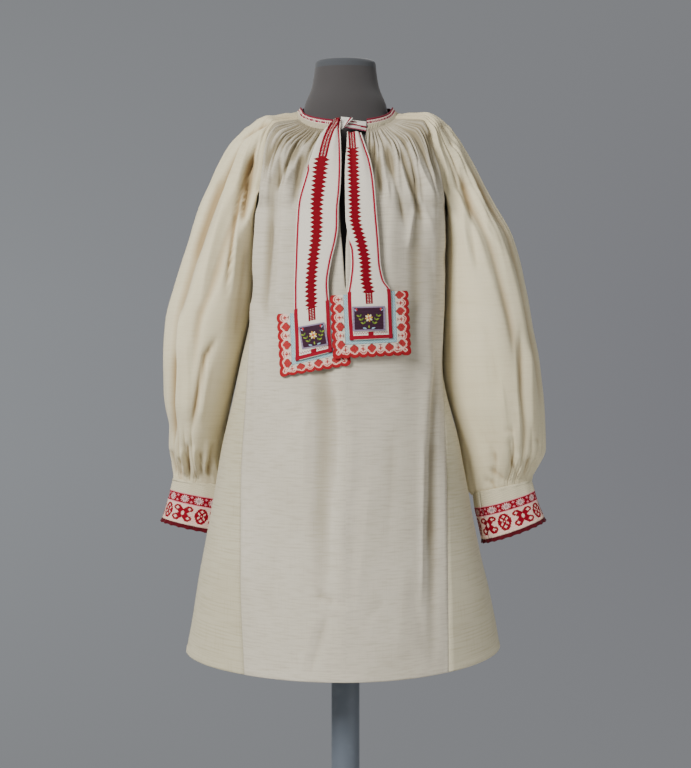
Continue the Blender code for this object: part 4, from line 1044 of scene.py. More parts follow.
def sleeve_height(side, u, v, points):
    """How far a sleeve's cloth stands out: gathers at neck and cuff, folds and creases. Behind,
    the creases are the other sleeve's, laid out the other way."""
    from_seams = smooth(np.minimum(u, np.maximum(OVER_ARC - u, 0.0)), 0.0, 0.06)
    seams = np.where(v < 1.2, from_seams + (1 - from_seams) * smooth(v, 1.0, 1.2), 1.0)
    inside = smooth(u, OVER_ARC - 0.02, OVER_ARC + 0.03) * (1 - smooth(u, 0.95, 1.0))
    calm = 1 - 0.8 * inside * (1 - smooth(v, 2.0, 2.2))
    drift = 0.7 if side == "left" else 2.2
    top = np.where(u <= OVER_ARC, pleat_height(SLEEVE_PLEATS, u / OVER_ARC, v, drift), 0.0)
    end = smooth(u, 0.0, 0.05) * (1 - smooth(u, OVER_ARC - 0.05, OVER_ARC))
    cuff = smooth(v, 1.98, 2.12) * (1 - 0.62 * smooth(v, 2.17, 2.245))
    gathers = 2 * np.abs(np.cos(math.pi * CUFF_GATHERS * u)) ** 0.8 - 1.1
    gathers = gathers * (0.75 + 0.25 * np.sin(4 * math.pi * u + drift)) * cuff * 2.3
    fine = 0.8 * np.cos(2 * math.pi * 3 * CUFF_GATHERS * u) * smooth(v, 2.10, 2.2)
    seen = smooth(table_at(SLEEVES[side], SLEEVE_COLUMNS, v)["y_middle"] - points[..., 1], -6.0, 12.0)
    depth = SLEEVE_CREASE_DEPTH[side]
    own, other = (LEFT_CREASES, RIGHT_CREASES) if side == "left" else (RIGHT_CREASES, LEFT_CREASES)
    behind = crease_height(other, points, 0.8 * depth, -1.0, 10.0)
    creases = seen * crease_height(own, points, depth) + (1 - seen) * behind
    folds = 0.9 * fold_height(SLEEVE_FOLDS[side], u, v)
    loose = end * top + gathers + fine + folds + creases + slackness(points, drift)
    return seams * calm * loose + SEAM_PUFF * seams * 0.8


def tucked_rows(rows, side):
    """A sleeve's last row carried on into the mouth of its cuff, a little narrower each time."""
    last = rows[-1]
    ends = np.array([0.0, 0.5])
    mouth = cuff_point(side, ends, np.zeros(2))
    axis = (cuff_point(side, ends, np.full(2, 3.0)) - mouth).mean(axis=0)
    axis = axis / np.linalg.norm(axis)
    away = last["points"] - mouth.mean(axis=0)
    away = away - (away @ axis)[:, None] * axis
    away = away / np.linalg.norm(away, axis=1, keepdims=True)
    more = []
    for down, narrower in ((3.0, 0.8), (6.0, 2.0), (9.0, 3.4), (12.0, 4.4)):
        points = last["points"] + axis * down - away * narrower
        uv = last["uv"] + np.array([0.0, -down * MM])
        more.append(row_of(points, uv, last["height"] * (1 - down / 16), shade=last["shade"] + 0.02 * down))
    return more


def sleeve_strip(side, v_rows, start, end, count):
    return surface_strip(
        v_rows,
        [np.linspace(start, end, count)] * len(v_rows),
        lambda u, v: sleeve_point(side, u, v),
        lambda u, v, points: sleeve_height(side, u, v, points),
        SLEEVE_WIDTH,
    )


def close_rings(over, under):
    """Gives the inside's edges the outside's own points, so that the two strips weld."""
    for outer, inner in zip(over[len(over) - len(under) :], under):
        inner["points"][0] = outer["points"][-1]
        inner["points"][-1] = outer["points"][0]


def make_sleeve(side, material):
    v_rows = np.concatenate([TOP_ROWS, SHOULDER_ROWS, SLEEVE_LOWER_ROWS])
    over = sleeve_strip(side, v_rows, 0.0, OVER_ARC, 121)
    under = sleeve_strip(side, v_rows[v_rows >= 1], OVER_ARC, 1.0, 35)
    shift = over[-1]["uv"][0, 1] - under[-1]["uv"][0, 1]
    for inner in under:
        inner["uv"][:, 1] += shift
    close_rings(over, under)
    over = over + tucked_rows(over, side)
    under = under + tucked_rows(under, side)
    close_rings(over, under)
    return cloth_piece("full_sleeve_" + side, [over, under], material, ["sleeve_" + side], "cotton")


def cuff_point(side, turn, step):
    """Points of a cuff: turn runs 0 to 1 round it from its inner side by way of the front."""
    row = table_at(CUFFS[side], CUFF_COLUMNS, step)
    middle = (row["x_outer"] + row["x_inner"]) / 2
    half = (row["x_inner"] - row["x_outer"]) / 2
    angle = 2 * math.pi * turn
    x = middle + half * np.cos(angle)
    y = row["y_middle"] - row["half_depth"] * np.sin(angle)
    slope = (row["z_inner"] - row["z_outer"]) / 2
    z = (row["z_outer"] + row["z_inner"]) / 2 + slope * np.cos(angle) - row["drop"] * np.sin(angle)
    return np.stack([x, y, z], axis=-1)


def cuff_row(side, turn, step, down):
    """A row round a cuff, its end lapping over its start; down moves it further along the arm."""
    step = np.full_like(turn, step)
    points = cuff_point(side, turn, step)
    ahead = cuff_point(side, turn + 0.005, step)
    behind = cuff_point(side, turn - 0.005, step)
    along = cuff_point(side, turn, np.full_like(turn, 3.0)) - cuff_point(side, turn, np.zeros_like(turn))
    along = along / np.linalg.norm(along, axis=1, keepdims=True)
    normal = np.cross(ahead - behind, along)
    normal = normal / np.linalg.norm(normal, axis=1, keepdims=True)
    middle = (points + cuff_point(side, turn + 0.5, step)) / 2
    turned = np.where(((points - middle) * normal).sum(axis=1, keepdims=True) < 0, -normal, normal)
    lap = CUFF_LAP * smooth(turn, 0.88, 1.0)
    return points + along * down + turned * lap[:, None], turned


RED = linear("#850219")
WINE = linear("#80172f")
PURPLE = linear("#351629")
LILAC = linear("#8a7a90")
# The braid's yarns in turn, and the lace's threads by number: pink, red, deep red, brown, ecru, rose.
BRAID_COLOURS = ("#c3d6d4", "#8fb6bc", "#7ea9b2", "#8fb6bc")
LACE_COLOURS = ("#e9bca9", "#a01a22", "#8f1f24", "#6a3a30", "#dcd0bf", "#b94c46")

# The cuffs' cross stitch, charted stitch by stitch: r is red, w pale, p pink, o grey, and a dot the
# row's ground. The charts give the upper half and the middle line of figures alike above and below it.
STAR_REPEAT = (
    "...w.w.....p..",
    ".w.www.w..ppp.",
    "..wwoww....p..",
    "wwwooowww.....",
    "..wooow.......",
)
CROSS_REPEAT = (
    "...rrrr.......rrrr.......rrrrr.....",
    "..rrrrrr.....rrrrrr.....rrrrrrr....",
    ".rrr.rrrr...rrrr.rrr...rrrr.rrrr...",
    ".rr...rrrr.rrrr...rr...rrr...rrr...",
    ".rrr.rrrrrrrrrrr.rrr..rrrrr.rrrrr..",
    "..rrrrrrrrrrrrrrrrr...rr.rrrrr.rr..",
    "....rrrrrr.rrrrrr....rrr..rrr..rrr.",
    ".....rrrr.w.rrrr.....rrrr.rrr.rrrr.",
    "......rrr.w.rrr......rrrrrr.rrrrrr.",
)


def charted(chart, letter, column, line):
    """Where a chart's letter stands, its repeat laid side by side and mirrored below its last line."""
    marks = np.array([[mark == letter for mark in text] for text in chart])
    tall = 2 * len(chart) - 1
    inside = (line >= 0) & (line < tall)
    folded = np.clip(np.minimum(line, tall - 1 - line), 0, len(chart) - 1)
    return inside & marks[folded, np.mod(column, marks.shape[1])]


def cuff_colours(across, down):
    """The cuffs' cross stitch: plain cream above, a row of stars, and a row of crosses and ovals."""
    colours = all_of("#cfc5a6", len(across))
    i = np.floor(across / STITCH).astype(int)
    j = np.floor((down - CUFF_PLAIN) / STITCH).astype(int)
    colours[(j >= 0) & (j < 14)] = RED
    for letter, text in (("w", "#d9b0ac"), ("p", "#cf7f89"), ("o", "#9c8784")):
        colours[charted(STAR_REPEAT, letter, i, j - 2)] = linear(text)
    colours[(j == 0) | (j == 12)] = linear("#d3848c")
    colours[(j >= 13) & (j < 33)] = linear("#dfbcab")
    colours[charted(CROSS_REPEAT, "r", i, j - 15)] = RED
    colours[j >= 33] = linear("#e0c2aa")
    jitter = 1 + 0.08 * np.sin(i * 12.9898 + j * 78.233)
    return colours * jitter[:, None]


def make_cuff(side, stitches, edging):
    columns = 186
    turns = CUFF_START + CUFF_TURNS * np.linspace(0.0, 1.0, columns + 1)
    lengths = np.linspace(0.0, CUFF_LENGTH, columns + 1)
    count = 51
    rows = []
    for j in range(count + 1):
        share = j / count
        step = 3 * share
        points, _ = cuff_row(side, turns, step, (1.0 + BUTT_GAP) * (1 - share) * (step < 0.2))
        puckered = 0.35 * np.sin(lengths * 0.32 + 2.0 * share) + 0.25 * np.sin(lengths * 0.11 + 5.0)
        rows.append(row_of(points, uv_line(lengths * MM, share * CUFF_TALL * MM), puckered))
    colours = cuff_colours(*face_places(lengths, count, CUFF_TALL))
    names = ("stitched_cuff_" + side, [rows], stitches, ["cuff_" + side], "woven_band")
    cuff = cloth_piece(*names, BAND_SHELL, colours)
    turns = CUFF_START + CUFF_TURNS * np.linspace(0.0, 1.0, 241)
    rows = []
    for j in range(7):
        share = j / 6
        points, normals = cuff_row(side, turns, 3.0, 0.3 + 1.25 * EDGING_HEIGHT * share)
        wave = np.cos(2 * math.pi * EDGING_WAVES * turns + 0.8 * np.sin(9 * turns))
        points = points + normals * (1.3 * share * wave + 0.6 * share)[:, None]
        scallop = 1.1 * share * np.abs(np.sin(math.pi * EDGING_WAVES * turns))
        points = points + np.array([0.0, 0.0, 1.0]) * scallop[:, None]
        rows.append(row_of(points, uv_line(turns * 0.262, share * 0.006), np.zeros_like(turns)))
    trim = cloth_piece("crochet_edge_" + side, [rows], edging, ["cuff_edging_" + side], "red_edging", 1.2)
    return cuff, trim


def collar_ring():
    """Points all round the collar's lower line, from the slit's right edge over the back to its left."""
    zero = np.zeros
    parts = [
        panel_point(FRONT, np.linspace(0.5, 1.0, 76)[:-1], zero(75), "right"),
        sleeve_point("right", np.linspace(0.0, OVER_ARC, 41)[:-1], zero(40)),
        panel_point(BACK, np.linspace(1.0, 0.5, 61)[:-1], zero(60), "right"),
        panel_point(BACK, np.linspace(0.5, 0.0, 61)[:-1], zero(60), "left"),
        sleeve_point("left", np.linspace(OVER_ARC, 0.0, 41)[:-1], zero(40)),
        panel_point(FRONT, np.linspace(0.0, 0.5, 76), zero(76), "left"),
    ]
    return np.concatenate(parts)


def make_neck_band(material):
    """The band over the gathers, in one strip from the slit's right edge round to its left."""
    ring = collar_ring()
    flat = (ring - np.array(NECK_CENTRE)) * np.array([1.0, 1.0, 0.0])
    out = flat / np.linalg.norm(flat, axis=1, keepdims=True)
    front = smooth(-out[:, 1], 0.2, 1.0)
    tall = COLLAR_SIDE_HEIGHT + (COLLAR_FRONT_HEIGHT - COLLAR_SIDE_HEIGHT) * front
    tall = tall - COLLAR_BACK_DROP * smooth(out[:, 1], -0.15, 0.45)
    drawn_in = COLLAR_IN + 5.5 * (1 - front)
    up = np.array([0.0, 0.0, 1.0])
    lower = ring + out * (COLLAR_OUT + 1.9) - up * 2.6
    upper = ring - out * drawn_in[:, None] + up * tall[:, None]
    lengths = np.concatenate([[0.0], np.cumsum(np.linalg.norm(np.diff(ring, axis=0), axis=1))])
    rows = []
    count = 18
    for j in range(count + 1):
        share = j / count
        points = upper + (lower - upper) * share
        bulge = 0.5 * math.sin(math.pi * share) + 0.9 * math.exp(-(((share - 0.05) / 0.06) ** 2))
        ripple = smooth(np.array(share), 0.45, 0.75) * np.sin(lengths * 1.9 + 0.7 * np.sin(lengths * 0.21))
        rows.append(row_of(points + out * bulge, uv_line(lengths * MM, share * 0.016), ripple))
    across, down = face_places(lengths, count, 16.0)
    # Painted shade: the rippled lower rows, over the gathers, keep a darker olive for the shade among the
    # gathers; above them come the band's cream, its pink stitches and its wine lines.
    colours = all_of("#b3a98e", len(across))
    colours[down < 8.4] = linear("#d6c8b4")
    colours[(down < 4.6) & (np.mod(across, 3.4) < 1.4)] = linear("#cf9a98")
    colours[down < 2.6] = linear("#741a2e")
    colours[(down > 4.5) & (down < 6.9) & (np.mod(across, 3.4) < 2.7)] = linear("#82233a")
    return cloth_piece("neck_binding", [rows], material, ["neck_band"], "linen", BAND_SHELL, colours)


# Where the woven sawtooth runs down each tie: how far its middle lies from the band's, in shares of it.
SAWTOOTH_COLUMNS = "step middle"
SAWTOOTH_LINE = {
    "left": ((0.0, -0.10), (2.2, -0.13), (3.2, -0.09), (4.2, -0.03), (5.4, 0.0), (9.8, 0.0)),
    "right": ((0.0, -0.20), (2.2, -0.20), (3.6, -0.20), (4.8, -0.09), (5.6, -0.02), (8.6, 0.0)),
}
# The parts of each tie down its length, in steps: the ladder's end, the sawtooth's and the lower
# ladder's; the steps over which the left edge's line comes out of the fold; and a tooth's length in mm.
TIE_PARTS = {"left": (2.0, 8.2, 8.6), "right": (0.6, 7.0, 7.45)}
LINE_STARTS = {"left": (2.0, 2.8), "right": (4.2, 5.0)}
TEETH_PITCH = {"left": 8.0, "right": 7.2}
# The ties' woven pattern, worked out a value at a time: its name, what is done, and to which earlier
# values or lengths in mm. Then the parts that lie over the white ground, the last one on top.
TIE_RECIPE = (
    ("aside", "ABSOLUTE", "across"),
    ("tooth", "PINGPONG", "teeth", 0.5),
    ("half", "MULTIPLY_ADD", "tooth", 12.6, 4.9),
    ("inside", "LESS_THAN", "aside", "half"),
    ("toothed", "COMPARE", "zone", 1.0, 0.5),
    ("saw", "MULTIPLY", "inside", "toothed"),
    ("first", "COMPARE", "zone", 0.0, 0.5),
    ("last", "COMPARE", "zone", 2.0, 0.5),
    ("laddered", "ADD", "first", "last"),
    ("rails", "COMPARE", "aside", 4.6, 1.5),
    ("core", "COMPARE", "aside", 0.0, 1.1),
    ("near", "LESS_THAN", "aside", 6.0),
    ("third", "MULTIPLY", "teeth", 3.0),
    ("part", "FRACT", "third"),
    ("rung", "LESS_THAN", "part", 0.72),
    ("rungs", "MULTIPLY", "near", "rung"),
    ("uprights", "ADD", "rails", "core"),
    ("summed", "ADD", "uprights", "rungs"),
    ("solid", "MINIMUM", "summed", 1.0),
    ("ladder", "MULTIPLY", "solid", "laddered"),
    ("line", "COMPARE", "from_edge", 3.4, 1.6),
    ("faint", "COMPARE", "from_edge", 5.6, 0.35),
    ("side_bar", "COMPARE", "from_edge", 3.7, 3.2),
    ("end_bar", "COMPARE", "from_end", 4.3, 3.2),
    ("bars", "MAXIMUM", "side_bar", "end_bar"),
    ("frame", "MULTIPLY", "bars", "framed"),
    ("wave", "PINGPONG", "aside", 2.1),
    ("crest", "MULTIPLY_ADD", "wave", 1.5, 9.8),
    ("crested", "COMPARE", "from_end", "crest", 0.75),
    ("clear", "GREATER_THAN", "from_edge", 7.5),
    ("waved", "MULTIPLY", "crested", "clear"),
    ("zigzag", "MULTIPLY", "waved", "framed"),
    ("centre", "LESS_THAN", "aside", 4.6),
    ("low", "COMPARE", "from_end", 9.8, 3.8),
    ("block", "MULTIPLY", "centre", "low"),
    ("knot", "MULTIPLY", "block", "framed"),
    ("worked", "MAXIMUM", "saw", "frame"),
)
TIE_LAYERS = (
    ("faint", "#c9949a"),
    ("line", "#920a28"),
    ("ladder", "#7a0619"),
    ("saw", "#760012"),
    ("zigzag", "#8e2a3f"),
    ("frame", "#900d24"),
    ("knot", "#86091f"),
)


def tie_point(side, across, step):
    """Points of a hanging tie end: across runs 0 to 1 from its left edge to its right."""
    row = table_at(TIES[side], TIE_COLUMNS, step)
    x = row["x_left"] + (row["x_right"] - row["x_left"]) * across
    z = row["z_left"] + (row["z_right"] - row["z_left"]) * across
    if side == "left":
        x = x - 5.0 * across * (smooth(step, 0.1, 0.8) - smooth(step, 4.0, 5.2))
    z = z - END_DROP[side] * smooth(step, 4.0, TIE_END_ROWS[side][0])
    lift = TIE_LIFTS[side] + KNOT_LIFTS[side] * (1 - smooth(step, 0.0, 2.5))
    curl = TIE_CURL * (2 * across - 1) ** 2
    return np.stack([x, front_depth(x, z) - lift + curl, z], axis=-1), row["x_right"] - row["x_left"]


def tie_cloth():
    """A narrow woven band: on white cotton a crimson sawtooth stripe with a ladder at each end, a
    wine line along the edges, and a red frame with a zigzag round the hanging end. The attribute
    "band" is the distance from the stripe's middle in mm, the teeth passed and the zone (0 and 2
    ladders, 1 sawtooth); "edges" is the distance from the nearest edge and from the end in mm, and
    1 within the frame's part. Its threads are drawn at 1.1 mm, three real ones each."""
    material, tree, shader = new_material("woven_cotton_band", 0.85, sheen=0.05, specular=CLOTH_GLOSS)
    made = {}
    for attribute, names in (("band", "across teeth zone"), ("edges", "from_edge from_end framed")):
        given = node(tree, "ShaderNodeAttribute", attribute_name=attribute)
        parts = node(tree, "ShaderNodeSeparateXYZ", {0: given.outputs[1]})
        made.update(zip(names.split(), parts.outputs))
    for name, operation, *terms in TIE_RECIPE:
        inputs = {i: made.get(term, term) for i, term in enumerate(terms)}
        made[name] = node(tree, "ShaderNodeMath", inputs, operation=operation).outputs[0]
    colour = "#dbd3c3"
    for name, text in TIE_LAYERS:
        mixed = node(tree, "ShaderNodeMix", {0: made[name], 6: colour, 7: text}, data_type="RGBA")
        colour = mixed.outputs[2]
    uv = node(tree, "ShaderNodeUVMap", uv_map="cloth")
    parts = node(tree, "ShaderNodeSeparateXYZ", {0: uv.outputs[0]})
    turns = 2 * math.pi / 0.0011
    along = node(tree, "ShaderNodeMath", {0: parts.outputs[1], 1: turns}, operation="MULTIPLY")
    ribs = node(tree, "ShaderNodeMath", {0: along.outputs[0]}, operation="SINE")
    inputs = {0: ribs.outputs[0], 1: 0.3, 2: made["worked"]}
    height = node(tree, "ShaderNodeMath", inputs, operation="MULTIPLY_ADD")
    dress_shader(tree, shader, fibred(tree, uv, colour, 0.86, 1.1), height.outputs[0], 0.5, 0.0004)
    return material


def make_tie(side, material):
    last = TIES[side][-1][0]
    rows_down = 220
    step, across = np.meshgrid(np.linspace(0.0, last, rows_down), np.linspace(0.0, 1.0, 41), indexing="ij")
    points, width = tie_point(side, across, step)
    bunch = 1 - smooth(step, 0.6, 3.6)
    fold = bunch * (1.5 * np.cos(2 * math.pi * 1.5 * across + 0.6) + 0.5 * np.sin(19 * across))
    fold = fold + 0.5 * np.sin(3 * across + step * 0.9) + 0.35 * np.sin(step * 2.1)
    down = length_down(points)[:, None] / MM * np.ones_like(across)
    middle = table_at(SAWTOOTH_LINE[side], SAWTOOTH_COLUMNS, step)["middle"]
    zone = sum(1.0 * (step > end) for end in TIE_PARTS[side])
    wider = 0.72 + 0.28 * smooth(step, 2.2, 6.0) if side == "left" else np.ones_like(step)
    band = np.stack([(across - 0.5 - middle) * width * wider, down / TEETH_PITCH[side], zone], axis=-1)
    framed = 1.0 * (step > TIE_END_ROWS[side][0] - 0.12)
    turned_in = 9.0 * (1 - smooth(step, *LINE_STARTS[side]))
    from_edge = np.minimum(across * width + turned_in, (1 - across) * width)
    edges = np.stack([from_edge, down[-1, 0] - down, framed], axis=-1)
    uv = np.stack([across * TIE_WIDTH, -down * MM], axis=-1)
    strip = [row_of(points[i], uv[i], fold[i], band=band[i], edges=edges[i]) for i in range(rows_down)]
    names = ("tie_end_" + side, [strip], material, ["tie_" + side], "woven_band")
    return cloth_piece(*names, outward=FRONTWARD)


def border_line(side, out):
    """The line round a tie's end at a distance out from its edge, as four corners in x and z."""
    first, last = [table_at(TIES[side], TIE_COLUMNS, step) for step in TIE_END_ROWS[side]]
    ends = ((first, "left"), (last, "left"), (last, "right"), (first, "right"))
    corners = np.array([(row["x_" + edge], row["z_" + edge]) for row, edge in ends])
    corners[:, 1] -= END_DROP[side]
    ways = [corners[i + 1] - corners[i] for i in range(3)]
    ways = [way / np.linalg.norm(way) for way in ways]
    sides = [np.array([way[1], -way[0]]) for way in ways]
    bisect_left = sides[0] + sides[1]
    bisect_right = sides[1] + sides[2]
    bisect_left = bisect_left / (bisect_left @ sides[1])
    bisect_right = bisect_right / (bisect_right @ sides[1])
    curl = np.array(CORNER_CURL[side]) * max(out, 0.0) / (BRAID_WIDTH + LACE_WIDTH)
    return [
        corners[0] + sides[0] * out,
        corners[1] + bisect_left * out + curl,
        corners[2] + bisect_right * out,
        corners[3] + sides[2] * out,
    ]


def border_grid(side, inner, outer, lift, scallop):
    """A fine grid between two lines round a tie's end: rows of points, and how many scallops each
    point has passed, measured straight along its own side, so that the pattern isn't skewed."""
    near = border_line(side, inner)
    far = border_line(side, outer)
    starts = []
    ends = []
    sides = []
    passed = 0
    for i in range(3):
        length = float(np.linalg.norm(far[i + 1] - far[i]))
        waves = round(length / SCALLOP_PITCH)
        count = waves * round(SCALLOP_PITCH / LACE_STITCH)
        share = np.arange(count + (i == 2)) / count
        start = near[i] + (near[i + 1] - near[i]) * share[:, None]
        end = far[i] + (far[i + 1] - far[i]) * share[:, None]
        along = (far[i + 1] - far[i]) / length
        wave = scallop * (np.abs(np.sin(math.pi * waves * share)) ** 0.7 - 1)
        way = (end - start) / np.linalg.norm(end - start, axis=1, keepdims=True)
        starts.append(start)
        ends.append(end + way * wave[:, None])
        sides.append(np.tile([*far[i], *along, waves / length, passed], (len(share), 1)))
        passed += waves
    start = np.concatenate(starts)
    end = np.concatenate(ends)
    sides = np.concatenate(sides)
    count = max(round((outer - inner) / LACE_STITCH), 3)
    rows = []
    places = []
    for j in range(count + 1):
        flat = start + (end - start) * (j / count)
        y = front_depth(flat[:, 0], flat[:, 1]) - lift
        rows.append(np.stack([flat[:, 0], y, flat[:, 1]], axis=1))
        places.append(sides[:, 5] + ((flat - sides[:, 0:2]) * sides[:, 2:4]).sum(axis=1) * sides[:, 4])
    return rows, places, count


def border_rows(grid, places, relief_at):
    """Rows for a border's grid; relief_at says how far each row's points stand out."""
    rows = []
    for j, (points, along) in enumerate(zip(grid, places)):
        uv = uv_line(along * SCALLOP_PITCH * MM, j * LACE_STITCH * MM)
        rows.append(row_of(points, uv, relief_at(along, j)))
    return rows


def make_border(side, braid_material, lace_material):
    lift = TIE_LIFTS[side] - TIE_CURL - CLOTH - SEAM_GAP
    grid, places, count = border_grid(side, -BRAID_TUCK, BRAID_SEEN, lift, 0.0)
    rows = border_rows(grid, places, lambda along, j: 0.3 * np.cos(along * 2 * math.pi * 5 + j * 1.6))
    kinds = [np.floor(places[j][1:] * 11 + (j % 4) * 0.9).astype(int) % 4 for j in range(count)]
    palette = np.array([linear(text) for text in BRAID_COLOURS])
    names = ("blue_braid_" + side, [rows], braid_material, ["braid_" + side], "braid", 1.0)
    braid = cloth_piece(*names, palette[np.concatenate(kinds)], outward=FRONTWARD)
    grid, places, count = border_grid(
        side, BRAID_SEEN + SEAM_GAP, BRAID_WIDTH + LACE_WIDTH, lift, SCALLOP_DEPTH
    )
    kinds = []
    for j in range(count):
        centre = (places[j][1:] + places[j][:-1] + places[j + 1][1:] + places[j + 1][:-1]) / 4
        kinds.append(lace_pattern(centre, np.full_like(centre, (j + 0.5) / count))[0])
    kind = np.concatenate(kinds)
    palette = np.array([linear(text) for text in LACE_COLOURS])
    rows = border_rows(grid, places, lambda along, j: lace_pattern(along, np.full_like(along, j / count))[1])
    names = ("lace_edge_" + side, [rows], lace_material, ["lace_" + side], "lace", 0.8)
    lace = cloth_piece(*names, palette[np.clip(kind, 0, 5)], kept=kind >= 0, outward=FRONTWARD)
    return braid, lace


def lace_pattern(along, out):
    """Bobbin lace, by scallop: a large filled diamond in every other one and a small ringed flower
    between, over pale corded arcs and solid scallops. along counts scallops and out runs 0 to 1.
    It gives each place's colour number, -1 for a hole, and how far it stands out."""
    flower = 8.6
    diamond_middle = 8.0
    s = (np.mod(along, 1.0) - 0.5) * SCALLOP_PITCH
    t = out * (LACE_WIDTH + BRAID_WIDTH - BRAID_SEEN - 1.0)
    odd = np.mod(np.floor(along), 2) == 1
    kind = np.full(len(along), 4)
    net = (np.mod(np.abs(s) + t, 2.6) < 0.8) & (np.mod(t - np.abs(s), 2.6) < 0.8)
    kind[net & (t < 9.0)] = -1
    kind[t < 1.4] = 4
    outer = t > 13.0 - 0.05 * s**2
    kind[outer] = 1
    arc = np.hypot(s, (t - flower) * 0.92)
    kind[(arc > 6.4) & (arc < 7.9) & (t > 9.0)] = 0
    diamond = np.abs(s) / 8.8 + np.abs(t - diamond_middle) / 7.9
    kind[odd & (diamond < 1.14)] = 0
    lattice = np.mod(np.abs(s) + np.abs(t - diamond_middle), 2.4) < 0.8
    kind[odd & (diamond < 0.98)] = np.where(lattice, 5, 1)[odd & (diamond < 0.98)]
    kind[odd & (diamond < 1.14) & (diamond > 0.98) & (t < diamond_middle)] = 3
    ring = np.hypot(s, t - flower)
    kind[~odd & (ring < 5.6)] = 0
    petals = 2.5 + 1.1 * np.cos(4 * np.arctan2(t - flower, s))
    kind[~odd & (ring < petals)] = 1
    kind[~odd & (ring < 0.9)] = 2
    stem = (np.abs(s) < 0.7) & (t > 1.4) & (t < 4.4)
    leaf = (np.abs(np.abs(s) - 1.8) < 0.8) & (np.abs(t - 2.4) < 1.0)
    kind[~odd & (stem | leaf)] = 3
    kind[(t > 17.5) & (np.abs(s) > 5.2)] = 2
    relief = np.full(len(along), -0.1)
    relief[(kind == 1) | (kind == 2) | (kind == 5)] = 0.35
    relief[(kind == 0) | (kind == 3)] = 0.15
    return kind, relief


def make_crossband(material):
    count = 60
    share = np.linspace(0.0, 1.0, count + 1)
    rows = []
    lines = 16
    for j in range(lines + 1):
        down = 2.0 * j / lines
        first = int(min(down, 1.0))
        part = down - first
        above = CROSSBAND_ROWS[first]
        below = CROSSBAND_ROWS[first + 1]
        z_left, z_right, out = [above[i] * (1 - part) + below[i] * part for i in range(3)]
        x = CROSSBAND_X[0] + (CROSSBAND_X[1] - CROSSBAND_X[0]) * share
        z = z_left + (z_right - z_left) * share
        y = CROSSBAND_Y[0] + (CROSSBAND_Y[1] - CROSSBAND_Y[0]) * share**2 - out
        crumple = 0.7 * np.sin(3.1 * down + 5 * share) * np.sin(math.pi * share)
        rows.append(row_of(np.stack([x, y, z], axis=1), uv_line(share * 0.052, down * 0.009), crumple))
    across, down = face_places(share, lines, 1.0)
    colours = all_of("#d8d2c6", len(across))
    colours[(np.abs(down - 0.62 - 0.28 * (1 - across) ** 3 + 0.25 * (1 - across)) < 0.085)] = WINE
    colours[(np.abs(down - 0.20) < 0.075) & (across > 0.45) & (across < 0.68)] = WINE
    colours[(np.abs(down - 0.93) < 0.04)] = linear("#b0566a")
    names = ("tie_wrap", [rows], material, ["tie_crossband"], "woven_band")
    return cloth_piece(*names, colours=colours, outward=FRONTWARD)


def make_knot(material):
    lines = 28
    share = np.linspace(0.0, 1.0, lines + 1)
    corners = np.array([KNOT_LEFT, KNOT_RIGHT], float)
    rows = []
    for j in range(lines + 1):
        across = j / lines
        left, right = corners[:, 0] * (1 - across) + corners[:, 1] * across
        flat = left + (right - left) * share[:, None]
        y = np.full_like(share, KNOT_Y - KNOT_BULGE * math.sin(math.pi * across))
        crumple = 0.8 * np.sin(7 * share + 4 * across) * np.sin(math.pi * across)
        points = np.stack([flat[:, 0], y, flat[:, 1]], axis=1)
        rows.append(row_of(points, uv_line(share * 0.021, across * 0.022), crumple))
    along, _ = face_places(share, lines, 1.0)
    colours = all_of("#dad5ca", len(along))
    colours[np.abs(along - 0.82) < 0.09] = WINE
    names = ("knot_loop", [rows], material, ["tie_knot"], "woven_band")
    return cloth_piece(*names, colours=colours, outward=FRONTWARD)


def make_form(material):
    """The form's cover, turned through its heights and closed at both ends."""
    spans = (np.linspace(720, 745, 12), np.linspace(745, 1500, 96)[1:], np.linspace(1500, 1523, 16)[1:])
    heights = np.concatenate(spans)
    row = {name: values[:, None] for name, values in table_at(FORM, FORM_COLUMNS, heights).items()}
    segments = 96
    around = np.arange(segments)
    after = (around + 1) % segments
    angle = 2 * math.pi * around / segments
    x = row["half_width"] * np.sin(angle)
    y = np.cos(angle) * np.where(np.cos(angle) > 0, row["y_back"], -row["y_front"])
    z = heights[:, None] * np.ones(segments)
    points = np.stack([x, y, z], axis=-1).reshape(-1, 3) * MM
    faces = []
    for base in range(0, len(points) - segments, segments):
        above = base + segments
        faces.extend(np.stack([base + around, base + after, above + after, above + around], axis=1).tolist())
    faces.append(list(range(segments))[::-1])
    faces.append(list(range(len(points) - segments, len(points))))
    mesh = bpy.data.meshes.new("dress_form")
    mesh.from_pydata(points.tolist(), [], faces)
    work = bmesh.new()
    work.from_mesh(mesh)
    bmesh.ops.recalc_face_normals(work, faces=work.faces)
    work.to_mesh(mesh)
    work.free()
    mesh.shade_smooth()
    mesh.set_sharp_from_angle(angle=math.radians(55))
    return link_piece("form_cover", mesh, material, ["dress_form"])


def turn_about(centre, angle, along, aside):
    """The point along and aside of a turned way that starts at centre, in x and z."""
    return (
        centre[0] + along * math.cos(angle) - aside * math.sin(angle),
        centre[1] + along * math.sin(angle) + aside * math.cos(angle),
    )


def turned_piece(name, radius, low, high, bevel, material, nodes):
    """A round steel piece: a cylinder with its edges rounded."""
    bpy.ops.object.select_all(action="DESELECT")
    bpy.ops.mesh.primitive_cylinder_add(
        vertices=96, radius=radius * MM, depth=(high - low) * MM, location=(0, 0, (high + low) / 2 * MM)
    )
    obj = bpy.context.active_object
    obj.name = name
    bpy.ops.object.transform_apply(location=True, rotation=True, scale=True)
    apply_modifier(obj, "BEVEL", width=bevel * MM, segments=4, limit_method="ANGLE")
    bpy.ops.object.shade_smooth_by_angle(angle=math.radians(40))
    obj.data.materials.clear()
    obj.data.materials.append(material)
    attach(obj, "root")
    if nodes:
        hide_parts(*nodes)
    return obj


